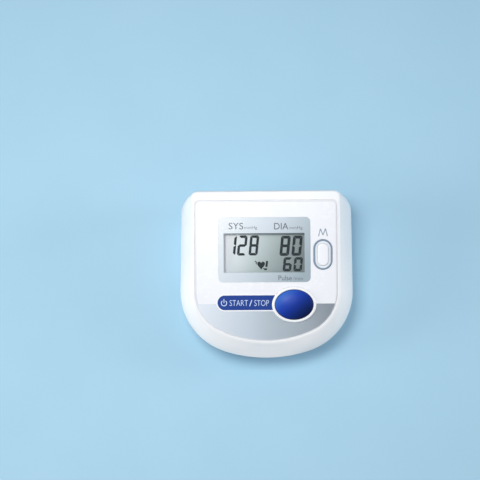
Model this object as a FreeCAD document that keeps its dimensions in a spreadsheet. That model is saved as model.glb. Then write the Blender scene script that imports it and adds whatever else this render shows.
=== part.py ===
"""Desk unit of an upper-arm blood pressure monitor, built as an assembly of separate pieces.

Frame: +Z up, X to the user's right, +Y away from the user. The origin is on the table under the
middle of the unit. Millimetres and degrees.

Every driving dimension is a cell of the spreadsheet "Sizes". size() writes a cell and returns a
Size, which carries the number and its expression text through ordinary arithmetic, so that
properties and sketch constraints are bound to the cells.

The sloping top has a frame of its own, the face frame: u runs to the right, v up the slope from
the rear edge of the face (so v is negative towards the user) and w out of the face.
"""
import FreeCAD, Part
import math
import os
import Sketcher
from FreeCAD import Placement, Rotation, Vector

doc = FreeCAD.newDocument("arm_blood_pressure_monitor")
sheet = doc.addObject("Spreadsheet::Sheet", "Sizes")


# ---------------------------------------------------------------------------------------- sizes

class Size:
    """A number together with the spreadsheet expression that gives it."""

    def __init__(self, value, text):
        self.value = float(value)
        self.text = text

    def __add__(self, other):
        other = as_size(other)
        return Size(self.value + other.value, f"({self.text} + {other.text})")

    def __sub__(self, other):
        other = as_size(other)
        return Size(self.value - other.value, f"({self.text} - {other.text})")

    def __mul__(self, other):
        other = as_size(other)
        return Size(self.value * other.value, f"({self.text} * {other.text})")

    def __truediv__(self, other):
        other = as_size(other)
        return Size(self.value / other.value, f"({self.text} / {other.text})")

    def __radd__(self, other):
        return as_size(other) + self

    def __rsub__(self, other):
        return as_size(other) - self

    def __rmul__(self, other):
        return as_size(other) * self

    def __rtruediv__(self, other):
        return as_size(other) / self

    def __neg__(self):
        return as_size(0) - self

    def root(self):
        return Size(math.sqrt(self.value), f"sqrt({self.text})")

    def sin(self):
        return Size(math.sin(math.radians(self.value)), f"sin({self.text})")

    def cos(self):
        return Size(math.cos(math.radians(self.value)), f"cos({self.text})")


def as_size(value):
    return value if isinstance(value, Size) else Size(value, f"({value!r})")


def size(alias, value):
    """Writes one driving dimension into the sheet and returns it."""
    size.row += 1
    sheet.set(f"A{size.row}", alias)
    sheet.set(f"B{size.row}", str(value))
    sheet.setAlias(f"B{size.row}", alias)
    sheet.recompute()
    return Size(sheet.get(alias), f"Sizes.{alias}")


size.row = 0

# Housing
case_width = size("case_width", 124)
case_depth = size("case_depth", 122)
wall = size("wall", 2.2)
ceiling = size("ceiling", 2)
foot_lift = size("foot_lift", 1.2)
parting_height = size("parting_height", 21)
rear_height = size("rear_height", 55.5)
face_tilt = size("face_tilt", 14)
flare = size("flare", 10)
rear_flare = size("rear_flare", 9)
side_radius = size("side_radius", 46.5)
nose_length = size("nose_length", 49)
rear_corner = size("rear_corner", 14.5)
top_corner = size("top_corner", 3.2)
top_nose = size("top_nose", 9)
face_radius = size("face_radius", 30.8)
face_nose_length = size("face_nose_length", 44.2)
shoulder_inset = size("shoulder_inset", 4)
shoulder_nose = size("shoulder_nose", 5)
shoulder_corner = size("shoulder_corner", 11.5)
shoulder_height = size("shoulder_height", 41)
shoulder_tilt = size("shoulder_tilt", 7.8)
belly_inset = size("belly_inset", 2.5)
belly_height = size("belly_height", 9.5)
base_inset = size("base_inset", 6.5)
seam = size("seam", 0.3)
lip_height = size("lip_height", 1.4)
lip_wall = size("lip_wall", 1)
fit_gap = size("fit_gap", 0.1)
tool_margin = size("tool_margin", 2)

# Face panel, display window and buttons, in the face frame
panel_thickness = size("panel_thickness", 0.8)
panel_sink = size("panel_sink", 0.1)
panel_rear = size("panel_rear", 6.5)
panel_rim = size("panel_rim", 1.7)
panel_corner = size("panel_corner", 3.2)
panel_gap = size("panel_gap", 0.15)
window_margin = size("window_margin", 0.5)
window_height = size("window_height", 45.7)
window_corner = size("window_corner", 3.2)
window_thickness = size("window_thickness", 1.2)
window_ledge = size("window_ledge", 2.2)
window_across = size("window_across", -1.15)
window_down = size("window_down", 41.3)
start_across = size("start_across", 19.7)
start_down = size("start_down", 80.2)
start_long = size("start_long", 26.8)
start_short = size("start_short", 20.8)
start_edge = size("start_edge", 1)
start_crown = size("start_crown", 2.4)
dome_spread = size("dome_spread", 1.15)
ring_band = size("ring_band", 2)
ring_rise = size("ring_rise", 1.3)
memory_room = size("memory_room", 7.55)
memory_down = size("memory_down", 44.9)
memory_width = size("memory_width", 8.4)
memory_length = size("memory_length", 16.6)
memory_rise = size("memory_rise", 0.6)
dish_band = size("dish_band", 1.2)
dish_rim = size("dish_rim", 1)
dish_depth = size("dish_depth", 0.9)
dish_floor = size("dish_floor", 0.6)
button_gap = size("button_gap", 0.3)
button_travel = size("button_travel", 0.6)
button_flange = size("button_flange", 1)
flange_reach = size("flange_reach", 1.3)
seat_gap = size("seat_gap", 0.15)
stem_radius = size("stem_radius", 3)

# Display stack and circuit board, in the face frame
glass_width = size("glass_width", 64)
glass_height = size("glass_height", 35)
glass_thickness = size("glass_thickness", 2.2)
glass_down = size("glass_down", 43.4)
glass_depth = size("glass_depth", 3)
reflector_thickness = size("reflector_thickness", 0.3)
reflector_inset = size("reflector_inset", 3)
holder_wall = size("holder_wall", 1.8)
holder_ledge = size("holder_ledge", 1)
zebra_width = size("zebra_width", 2)
board_depth = size("board_depth", 10)
board_thickness = size("board_thickness", 1.6)
board_rim = size("board_rim", 3)
board_reach = size("board_reach", 4.8)
board_rear = size("board_rear", 12)
board_step = size("board_step", 28)
board_front = size("board_front", 66)
tongue_side = size("tongue_side", 15)
tongue_front = size("tongue_front", 86.5)
switch_side = size("switch_side", 6)
switch_height = size("switch_height", 3.4)
switch_floor = size("switch_floor", 0.8)
plunger_radius = size("plunger_radius", 1.7)
plunger_rise = size("plunger_rise", 1.4)
running_gap = size("running_gap", 0.05)
standoff_radius = size("standoff_radius", 2.2)
standoff_room = size("standoff_room", 2)
standoff_rear = size("standoff_rear", 16)
standoff_front = size("standoff_front", 60)
board_screw_radius = size("board_screw_radius", 1)
board_screw_head = size("board_screw_head", 1.8)
board_screw_cap = size("board_screw_cap", 1.2)
board_screw_bite = size("board_screw_bite", 5)

# Parts soldered under the board, in the face frame
chips = {name: [size(f"{name}_{what}", value) for what, value in
                zip(("across", "down", "width", "length", "thickness"), row)]
         for name, row in {"controller": (-6, 38, 12, 12, 1.4), "memory_chip": (-26, 52, 5, 6, 1.2),
                           "motor_driver": (-30, 36, 5, 4, 1.2), "regulator": (24, 24, 6.5, 6, 1.6)}.items()}
capacitor_radius = size("capacitor_radius", 2.5)
capacitor_height = size("capacitor_height", 5.5)
capacitor_right = size("capacitor_right", 28)
capacitor_down = size("capacitor_down", 34)
capacitor_pitch = size("capacitor_pitch", 8)
capacitor_left = size("capacitor_left", 30)
buzzer_across = size("buzzer_across", 8)
buzzer_down = size("buzzer_down", 22)
buzzer_radius = size("buzzer_radius", 6)
buzzer_height = size("buzzer_height", 3)
buzzer_vent = size("buzzer_vent", 1)

# Battery bay, cells and door
cell_radius = size("cell_radius", 7.1)
cell_length = size("cell_length", 49.2)
nub_radius = size("nub_radius", 2.7)
nub_length = size("nub_length", 1.3)
cell_pitch = size("cell_pitch", 14.9)
cell_gap = size("cell_gap", 0.3)
bay_wall = size("bay_wall", 1.4)
bay_rear_room = size("bay_rear_room", 12.35)
bay_side_gap = size("bay_side_gap", 0.6)
contact_thickness = size("contact_thickness", 0.4)
contact_width = size("contact_width", 10)
contact_height = size("contact_height", 10)
spring_length = size("spring_length", 3.2)
spring_radius = size("spring_radius", 3.4)
spring_wire = size("spring_wire", 0.35)
spring_turns = size("spring_turns", 2)
door_gap = size("door_gap", 0.3)
door_thickness = size("door_thickness", 2.2)
door_pin_radius = size("door_pin_radius", 0.7)
door_pin_length = size("door_pin_length", 1.4)
latch_width = size("latch_width", 14)
latch_slot = size("latch_slot", 1)
latch_reach = size("latch_reach", 9)
latch_nose = size("latch_nose", 1.2)
scoop_radius = size("scoop_radius", 12)
scoop_depth = size("scoop_depth", 1.2)

# Fasteners and feet
post_radius = size("post_radius", 4.2)
boss_radius = size("boss_radius", 3.2)
rear_post_room = size("rear_post_room", 4.5)
rear_post_inset = size("rear_post_inset", 27)
front_post_x = size("front_post_x", 26)
front_post_room = size("front_post_room", 16)
screw_radius = size("screw_radius", 1.45)
screw_head_radius = size("screw_head_radius", 2.6)
screw_head_height = size("screw_head_height", 2)
screw_seat = size("screw_seat", 14)
post_cap = size("post_cap", 3)
screw_bite = size("screw_bite", 8)
screw_slot = size("screw_slot", 0.8)
foot_radius = size("foot_radius", 5)
foot_sink = size("foot_sink", 0.9)
rear_foot_inset = size("rear_foot_inset", 17)
rear_foot_room = size("rear_foot_room", 15)
front_foot_inset = size("front_foot_inset", 21)
front_foot_room = size("front_foot_room", 10)

# Air line
air_room = size("air_room", 3.6)
air_height = size("air_height", 12)
hose_radius = size("hose_radius", 2.2)
hose_bore = size("hose_bore", 1.5)
hose_bend = size("hose_bend", 7)
barb_radius = size("barb_radius", 1.4)
barb_length = size("barb_length", 2.4)
manifold_radius = size("manifold_radius", 2.6)
valve_gap = size("valve_gap", 9.5)
branch_room = size("branch_room", 5)
branch_pitch = size("branch_pitch", 6)
pump_gap = size("pump_gap", 12)
pump_room = size("pump_room", 16)
motor_radius = size("motor_radius", 10.5)
motor_length = size("motor_length", 26)
hub_radius = size("hub_radius", 3.5)
hub_length = size("hub_length", 1)
head_radius = size("head_radius", 11)
head_length = size("head_length", 20)
cushion_wall = size("cushion_wall", 1)
cushion_width = size("cushion_width", 6)
saddle_height = size("saddle_height", 9)
valve_room = size("valve_room", 2.05)
valve_width = size("valve_width", 14)
valve_depth = size("valve_depth", 13)
valve_height = size("valve_height", 15.6)
coil_radius = size("coil_radius", 5.4)
yoke_thickness = size("yoke_thickness", 1.2)
sensor_side = size("sensor_side", 7)
sensor_height = size("sensor_height", 3)

# Sockets in the side and rear walls
socket_radius = size("socket_radius", 5)
socket_inset = size("socket_inset", 1.6)
socket_length = size("socket_length", 12)
socket_bore = size("socket_bore", 2.3)
socket_bore_depth = size("socket_bore_depth", 10)
socket_flange = size("socket_flange", 6.4)
flange_thickness = size("flange_thickness", 1.4)
pad_depth = size("pad_depth", 7.6)
pad_radius = size("pad_radius", 7)
air_passage = size("air_passage", 0.8)
jack_room = size("jack_room", 5.5)
jack_radius = size("jack_radius", 4.2)
jack_bore = size("jack_bore", 2.8)
jack_bore_depth = size("jack_bore_depth", 9)
jack_pin = size("jack_pin", 0.8)
jack_width = size("jack_width", 9)
jack_length = size("jack_length", 11)

# Leads
wire_radius = size("wire_radius", 0.65)
wire_bend = size("wire_bend", 2)
wire_pitch = size("wire_pitch", 2.4)
wire_drop = size("wire_drop", 5)
wire_exit = size("wire_exit", 4)
wire_edge = size("wire_edge", 1.5)
pump_wire_side = size("pump_wire_side", 6)
pump_wire_across = size("pump_wire_across", 33)
jack_wire_down = size("jack_wire_down", 22)


# -------------------------------------------------------------------------------------- helpers

parts = []
NO_TILT = as_size(0)
face_y = case_depth / 2 - rear_flare
side_end = case_depth / 2 - nose_length
face_side_end = case_depth / 2 - face_nose_length


def sub_part(thing, label):
    """Names a finished sub-part, which is then written to its own file."""
    thing.Label = label
    parts.append(thing)
    return thing


def bind(thing, name, value):
    thing.setExpression(name, as_size(value).text)


def place(thing, x, y, z, tilt=NO_TILT, axis="1; 0; 0"):
    """Binds a placement: a point, and a turn about X unless another axis is given."""
    x, y, z, tilt = as_size(x), as_size(y), as_size(z), as_size(tilt)
    base = f"vector({x.text}; {y.text}; {z.text})"
    thing.setExpression("Placement", f"placement({base}; rotation(vector({axis}); {tilt.text}))")
    return thing


def on_face(thing):
    """Moves a thing that was built in the face frame to its place on the unit."""
    return place(thing, 0, face_y, rear_height, face_tilt)


def box(low, spans):
    """A block from its low corner and its three spans."""
    block = doc.addObject("Part::Box", "Block")
    for name, span in zip(("Length", "Width", "Height"), spans):
        bind(block, name, span)
    return place(block, *low)


def cylinder(radius, length, start, way="+Z"):
    """A round bar from the middle of its first end, along a signed axis or the face's normal."""
    bar = doc.addObject("Part::Cylinder", "Bar")
    bind(bar, "Radius", radius)
    bind(bar, "Height", length)
    turns = {"+Z": (0, "1; 0; 0"), "-Z": (180, "1; 0; 0"), "+Y": (-90, "1; 0; 0"), "-Y": (90, "1; 0; 0"),
             "+X": (90, "0; 1; 0"), "-X": (-90, "0; 1; 0"), "face": (face_tilt, "1; 0; 0")}
    tilt, axis = turns[way]
    return place(bar, *start, tilt, axis)


def fuse(*things):
    union = doc.addObject("Part::MultiFuse", "Union")
    union.Shapes = list(things)
    return union


def cut(base, *tools):
    rest = doc.addObject("Part::Cut", "Rest")
    rest.Base = base
    rest.Tool = tools[0] if len(tools) == 1 else fuse(*tools)
    return rest


def common(first, second):
    shared = doc.addObject("Part::Common", "Shared")
    shared.Base = first
    shared.Tool = second
    return shared


def group(*things):
    """Separate solids in one sub-part."""
    pack = doc.addObject("Part::Compound", "Group")
    pack.Links = list(things)
    return pack


def loft(*sections):
    skin = doc.addObject("Part::Loft", "Skin")
    skin.Sections = list(sections)
    skin.Solid = True
    skin.Ruled = False
    return skin


def extrude(profile, length):
    """A solid from a closed profile, along the profile's own normal."""
    solid = doc.addObject("Part::Extrusion", "Prism")
    solid.Base = profile
    solid.DirMode = "Normal"
    solid.Solid = True
    bind(solid, "LengthFwd", length)
    return solid


def new_sketch():
    return doc.addObject("Sketcher::SketchObject", "Outline")


def add_loop(sketch, corners):
    """Adds a closed loop. Each corner is (x, y, arc), and arc is None for a straight run to the
    next corner or (centre x, centre y, radius) for a round one, counter-clockwise. An arc with
    no radius is a half circle between ends at one height, held by the height of its centre."""
    first = sketch.GeometryCount
    count = len(corners)
    for index, (x, y, arc) in enumerate(corners):
        next_x, next_y = corners[(index + 1) % count][:2]
        start, end = Vector(x.value, y.value, 0), Vector(next_x.value, next_y.value, 0)
        if arc is None:
            sketch.addGeometry(Part.LineSegment(start, end), False)
            continue
        centre = Vector(arc[0].value, arc[1].value, 0)
        angles = [math.atan2(point.y - centre.y, point.x - centre.x) for point in (start, end)]
        circle = Part.Circle(centre, Vector(0, 0, 1), (start - centre).Length)
        sketch.addGeometry(Part.ArcOfCircle(circle, *angles), False)
    for index, (x, y, arc) in enumerate(corners):
        here = first + index
        after = first + (index + 1) % count
        sketch.addConstraint(Sketcher.Constraint("Coincident", here, 2, after, 1))
        for kind, value in (("DistanceX", x), ("DistanceY", y)):
            row = sketch.addConstraint(Sketcher.Constraint(kind, -1, 1, here, 1, value.value))
            sketch.setExpression(f"Constraints[{row}]", value.text)
        if arc is not None:
            held = arc[1] if arc[2] is None else arc[2]
            kind, ends = ("DistanceY", (-1, 1, here, 3)) if arc[2] is None else ("Radius", (here,))
            row = sketch.addConstraint(Sketcher.Constraint(kind, *ends, held.value))
            sketch.setExpression(f"Constraints[{row}]", held.text)
    return sketch


def add_circle(sketch, x, y, radius):
    x, y, radius = as_size(x), as_size(y), as_size(radius)
    circle = Part.Circle(Vector(x.value, y.value, 0), Vector(0, 0, 1), radius.value)
    here = sketch.addGeometry(circle, False)
    for kind, ends, value in (("DistanceX", (-1, 1, here, 3), x), ("DistanceY", (-1, 1, here, 3), y),
                              ("Radius", (here,), radius)):
        row = sketch.addConstraint(Sketcher.Constraint(kind, *ends, value.value))
        sketch.setExpression(f"Constraints[{row}]", value.text)
    return sketch


def add_ellipse(sketch, x, y, long_half, short_half):
    """An ellipse with its long axis along the sketch's X, held by its centre and two vertices."""
    centre = Vector(x.value, y.value, 0)
    reach = Vector(x.value + long_half.value, y.value, 0)
    rise = Vector(x.value, y.value + short_half.value, 0)
    here = sketch.addGeometry(Part.Ellipse(reach, rise, centre), False)
    sketch.exposeInternalGeometry(here)
    major, minor = here + 1, here + 2
    for kind, ends, value in (("DistanceX", (-1, 1, here, 3), x), ("DistanceY", (-1, 1, here, 3), y),
                              ("Distance", (major,), long_half * 2), ("Distance", (minor,), short_half * 2)):
        row = sketch.addConstraint(Sketcher.Constraint(kind, *ends, value.value))
        sketch.setExpression(f"Constraints[{row}]", value.text)
    sketch.addConstraint(Sketcher.Constraint("Horizontal", major))
    return sketch


def rectangle_loop(x, y, width, height):
    """The corners of a rectangle about (x, y)."""
    left, right = x - width / 2, x + width / 2
    low, high = y - height / 2, y + height / 2
    return [(left, low, None), (right, low, None), (right, high, None), (left, high, None)]


def rounded_loop(x, y, width, height, radius):
    """The corners of a rectangle about (x, y) with round corners."""
    left, right = x - width / 2, x + width / 2
    low, high = y - height / 2, y + height / 2
    return [(left + radius, low, None),
            (right - radius, low, (right - radius, low + radius, radius)),
            (right, low + radius, None),
            (right, high - radius, (right - radius, high - radius, radius)),
            (right - radius, high, None),
            (left + radius, high, (left + radius, high - radius, radius)),
            (left, high - radius, None),
            (left, low + radius, (left + radius, low + radius, radius))]


def slot_loop(x, y, width, length):
    """The corners of an upright slot about (x, y) with half-round ends."""
    radius = width / 2
    low, high = y - length / 2 + radius, y + length / 2 - radius
    return [(x + radius, low, None), (x + radius, high, (x, high, None)),
            (x - radius, high, None), (x - radius, low, (x, low, None))]


def unit_loop(half, rear, straight_end, front, radius, corner):
    """The unit's outline: a straight rear edge and sides, and a front that is one wide arc
    running tangent into an arc at each side."""
    across = half - radius
    reach = straight_end - front
    front_radius = (across * across + reach * reach - radius * radius) / (2 * (reach - radius))
    share = front_radius / (front_radius - radius)
    join_x = across * share
    join_y = front + front_radius - (reach * -1 + front_radius) * share
    zero = as_size(0)
    return [(half - corner, rear, None),
            (corner - half, rear, (corner - half, rear - corner, corner)),
            (-half, rear - corner, None),
            (-half, straight_end, (-across, straight_end, radius)),
            (-join_x, join_y, (zero, front + front_radius, front_radius)),
            (join_x, join_y, (across, straight_end, radius)),
            (half, straight_end, None),
            (half, rear - corner, (half - corner, rear - corner, corner))]


def level_outline(inset, height):
    """The widest outline drawn in by an inset, level at a height."""
    corners = unit_loop(case_width / 2 - inset, case_depth / 2 - inset, -side_end,
                        inset - case_depth / 2, side_radius - inset, rear_corner - inset)
    return place(add_loop(new_sketch(), corners), 0, 0, height)


def sloping_outline(inset, rear_inset, nose_inset, corner, tilt, rear_z, extra):
    """The outline drawn in at its sides, rear and nose in a plane that slopes down towards the
    user, where it takes on the face's squarer front the further it is drawn in; extra draws it
    in further and sinks it by the ceiling, for the inside of the shell."""
    rear_y = case_depth / 2 - rear_inset
    lean = tilt.cos()
    share = inset / flare
    straight_end = side_end + (face_side_end - side_end) * share
    radius = side_radius + (face_radius - side_radius) * share
    corners = unit_loop(case_width / 2 - inset - extra, -extra, -(rear_y + straight_end) / lean,
                        (nose_inset - rear_y - case_depth / 2) / lean + extra,
                        radius / lean - extra, corner - extra)
    sunk = ceiling * (extra / wall)
    return place(add_loop(new_sketch(), corners), 0, rear_y, rear_z - sunk, tilt)


def upper_skin(extra):
    """The flared upper body, or its inside when extra is the wall."""
    return loft(level_outline(extra, parting_height - extra * 0.5),
                sloping_outline(shoulder_inset, shoulder_inset, shoulder_nose, shoulder_corner,
                                shoulder_tilt, shoulder_height, extra),
                sloping_outline(flare, rear_flare, top_nose, top_corner, face_tilt, rear_height,
                                extra))


def face_height(y):
    """The height of the sloping face above a point y."""
    return rear_height - (face_y - y) * face_tilt.sin() / face_tilt.cos()


def face_prism(corners, low, length):
    """A prism in the face frame, from a depth w = low outwards."""
    outline = add_loop(new_sketch(), corners)
    return place(extrude(outline, length), 0, 0, low)


def face_ellipse(long_half, short_half, low, length):
    """A prism of the start button's ellipse, in the face frame."""
    outline = add_ellipse(new_sketch(), start_across, -start_down, long_half, short_half)
    return place(extrude(outline, length), 0, 0, low)


def plate(label, corners, thickness, low, holes=()):
    """A flat piece in the face frame: one pad of its outline with its round holes."""
    body = doc.addObject("PartDesign::Body", label)
    sketch = body.newObject("Sketcher::SketchObject", f"{label}_outline")
    plane = next(item for item in body.Origin.OriginFeatures if item.Role == "XY_Plane")
    sketch.AttachmentSupport = [(plane, "")]
    sketch.MapMode = "FlatFace"
    add_loop(sketch, corners)
    for x, y, radius in holes:
        add_circle(sketch, x, y, radius)
    bind(sketch, "AttachmentOffset.Base.z", low)
    pad = body.newObject("PartDesign::Pad", f"{label}_pad")
    pad.Profile = sketch
    bind(pad, "Length", thickness)
    return body


def sweep_round(edges, way, radius):
    """A round bar along joined edges; way is the direction of the first one."""
    route = Part.Wire(edges)
    ring = Part.Wire(Part.makeCircle(radius, edges[0].valueAt(edges[0].FirstParameter), way))
    bar = route.makePipeShell([ring], True, False)
    expected = math.pi * radius ** 2 * route.Length
    if abs(bar.Volume - expected) > expected * 0.01:
        raise ValueError("a swept bar has the wrong volume")
    return bar


def tube_along(points, bend, radius, bore=None):
    """A tube or wire along straight runs joined by tangent arcs."""
    points = [Vector(*point) for point in points]
    edges = []
    start = points[0]
    for before, corner, after in zip(points, points[1:], points[2:]):
        inward = (before - corner).normalize()
        outward = (after - corner).normalize()
        half_turn = (math.pi - inward.getAngle(outward)) / 2
        trim = bend * math.tan(half_turn)
        first, last = corner + inward * trim, corner + outward * trim
        middle = (inward + outward).normalize()
        bow = corner + middle * (bend / math.cos(half_turn) - bend)
        edges += [Part.makeLine(start, first), Part.Arc(first, bow, last).toShape()]
        start = last
    edges.append(Part.makeLine(start, points[-1]))
    way = points[1] - points[0]
    solid = sweep_round(edges, way, radius)
    return solid if bore is None else solid.cut(sweep_round(edges, way, bore))


def spring_between(x, y, z, length):
    """A coil spring along Y from y, of half turns that each lean a little and meet end to end."""
    count = int(spring_turns.value * 2)
    side, wire = spring_radius.value, spring_wire.value
    step = length / count
    edges = []
    for index in range(count):
        lean = side if index % 2 == 0 else -side
        start = Vector(x + lean, y + index * step, z)
        bow = Vector(x, y + (index + 0.5) * step, z + lean)
        end = Vector(x - lean, y + (index + 1) * step, z)
        edges.append(Part.Arc(start, bow, end).toShape())
    return sweep_round(edges, Vector(0, 0, 1), wire)


def shape_part(label, shapes):
    """A sub-part whose shape comes from swept tubes."""
    feature = doc.addObject("Part::Feature", label)
    feature.Shape = shapes[0] if len(shapes) == 1 else Part.makeCompound(shapes)
    feature.Placement = Placement(Vector(0, 0, 0), Rotation())
    return sub_part(feature, label)


def face_point(u, v, w):
    """The place on the unit of a point in the face frame, as numbers."""
    lean = math.radians(face_tilt.value)
    y = face_y.value + v * math.cos(lean) - w * math.sin(lean)
    z = rear_height.value + v * math.sin(lean) + w * math.cos(lean)
    return (u, y, z)


# ------------------------------------------------------------------------- shared places

window_width = glass_width + window_margin * 2
memory_across = window_across + glass_width / 2 + holder_wall + memory_room
standoff_across = glass_width / 2 + holder_wall + standoff_radius + standoff_room
board_side = standoff_across + board_rim
board_wide_side = memory_across + board_reach
floor_top = foot_lift + wall
bay_half = cell_pitch * 1.5 + cell_radius + bay_side_gap
bay_length = contact_thickness * 2 + seat_gap + cell_length + nub_length + spring_length
bay_rear = case_depth / 2 - bay_rear_room
bay_front = bay_rear - bay_length
air_y = bay_front - bay_wall - air_room
pump_y = air_y - pump_room
valve_left = bay_half + bay_wall + valve_room
manifold_right = valve_left - valve_gap
sensor_branch = manifold_right - branch_room
pump_branch = sensor_branch - branch_pitch
manifold_left = pump_branch - branch_room
pump_right = pump_branch - pump_gap
pump_left = pump_right - motor_length - head_length
rear_post_x = board_side + rear_post_room
jack_x = rear_post_x - jack_room
rear_post_y = case_depth / 2 - rear_post_inset
front_post_y = pump_y - front_post_room
rear_foot_x = case_width / 2 - rear_foot_inset
rear_foot_y = case_depth / 2 - rear_foot_room
front_foot_x = case_width / 2 - front_foot_inset
front_foot_y = -side_end - front_foot_room
post_places = [(side * x, y) for x, y in ((rear_post_x, rear_post_y), (front_post_x, front_post_y))
               for side in (1, -1)]
foot_places = [(side * x, y) for x, y in ((rear_foot_x, rear_foot_y), (front_foot_x, front_foot_y))
               for side in (1, -1)]
post_top = screw_seat + post_cap
standoff_places = [(side * standoff_across, -down) for down in (standoff_rear, standoff_front)
                   for side in (1, -1)]
board_under = -(board_depth + board_thickness)
cell_places = [cell_pitch * (index - 1.5) for index in range(4)]
cell_height = foot_lift + door_thickness + cell_gap + cell_radius
bay_top = cell_height + cell_radius + cell_gap
pump_height = floor_top + head_radius + cushion_wall + cell_gap * 2
jack_height = air_height
socket_face = socket_inset - case_width / 2
jack_face = case_depth / 2 - socket_inset
lean_y, lean_z = air_y - face_y, air_height - rear_height
sensor_v = lean_y * face_tilt.cos() + lean_z * face_tilt.sin()
manifold_w = lean_z * face_tilt.cos() - lean_y * face_tilt.sin()

# ------------------------------------------------------------------------- housing

face_outline_half = case_width / 2 - flare
face_outline_front = -(face_y + case_depth / 2 - top_nose) / face_tilt.cos()
face_straight_end = -(face_y + face_side_end) / face_tilt.cos()


def panel_loop(extra):
    """The outline of the face panel, or of its recess when extra is the gap around it."""
    inset = panel_rim - extra
    return unit_loop(face_outline_half - inset, extra - panel_rear, face_straight_end,
                     face_outline_front + inset,
                     face_radius / face_tilt.cos() - inset, panel_corner + extra)


def ring_half(clearance):
    """Half axes of the start button's ring, outside."""
    grow = button_gap + ring_band + clearance
    return start_long / 2 + grow, start_short / 2 + grow


def memory_slot(grow, low, length):
    return face_prism(slot_loop(memory_across, -memory_down, memory_width + grow * 2,
                                memory_length + grow * 2), low, length)


dish_grow = button_gap + dish_band
surround_grow = dish_grow + dish_rim
panel_floor = -(panel_thickness + panel_sink)


def window_prism(grow, low, length):
    return face_prism(rounded_loop(window_across, -window_down, window_width + grow * 2,
                                   window_height + grow * 2, window_corner + grow), low, length)


def make_upper_case():
    lip_low = parting_height - lip_height
    lip_root = place(extrude(level_outline(wall / 2, 0), lip_height), 0, 0, parting_height)
    lip_ring = extrude(level_outline(wall + fit_gap, lip_low), lip_height)
    lip_hole = extrude(level_outline(wall + fit_gap + lip_wall, lip_low), lip_height * 2)
    shell = cut(upper_skin(as_size(0)), upper_skin(wall))
    lip = cut(fuse(lip_root, lip_ring), lip_hole)
    bosses = [cylinder(boss_radius, face_height(y) - ceiling / 2 - post_top, (x, y, post_top + seat_gap))
              for x, y in post_places]
    pilots = [cylinder(screw_radius, screw_bite + post_cap, (x, y, post_top)) for x, y in post_places]
    depth = board_depth - ceiling / 2
    standoffs = on_face(fuse(*[cylinder(standoff_radius, depth, (u, v, -board_depth))
                               for u, v in standoff_places]))
    tool_length = tool_margin + ceiling * 2
    low = -ceiling * 2
    openings = on_face(fuse(
        face_prism(panel_loop(panel_gap), panel_floor, tool_length),
        window_prism(panel_gap, -(window_thickness + panel_sink), tool_length),
        window_prism(-window_ledge, low, tool_length),
        face_ellipse(start_long / 2 + button_gap, start_short / 2 + button_gap, low, tool_length),
        memory_slot(surround_grow + panel_gap, -(dish_depth + dish_floor), tool_length),
        memory_slot(button_gap, low, tool_length),
        *[cylinder(board_screw_radius, board_screw_bite, (u, v, -board_depth))
          for u, v in standoff_places]))
    case = cut(fuse(shell, lip, standoffs, *bosses), openings, *pilots)
    sub_part(case, "upper_case")


def wall_pad(start, way):
    """A thick pad behind the hole for a socket, trimmed to the outside of the lower body."""
    return cylinder(pad_radius, pad_depth, start, way)


def lower_skin(extra, low):
    return loft(level_outline(base_inset + extra, low),
                level_outline(belly_inset + extra, belly_height),
                level_outline(extra, parting_height - seam + extra * 0.5))


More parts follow.
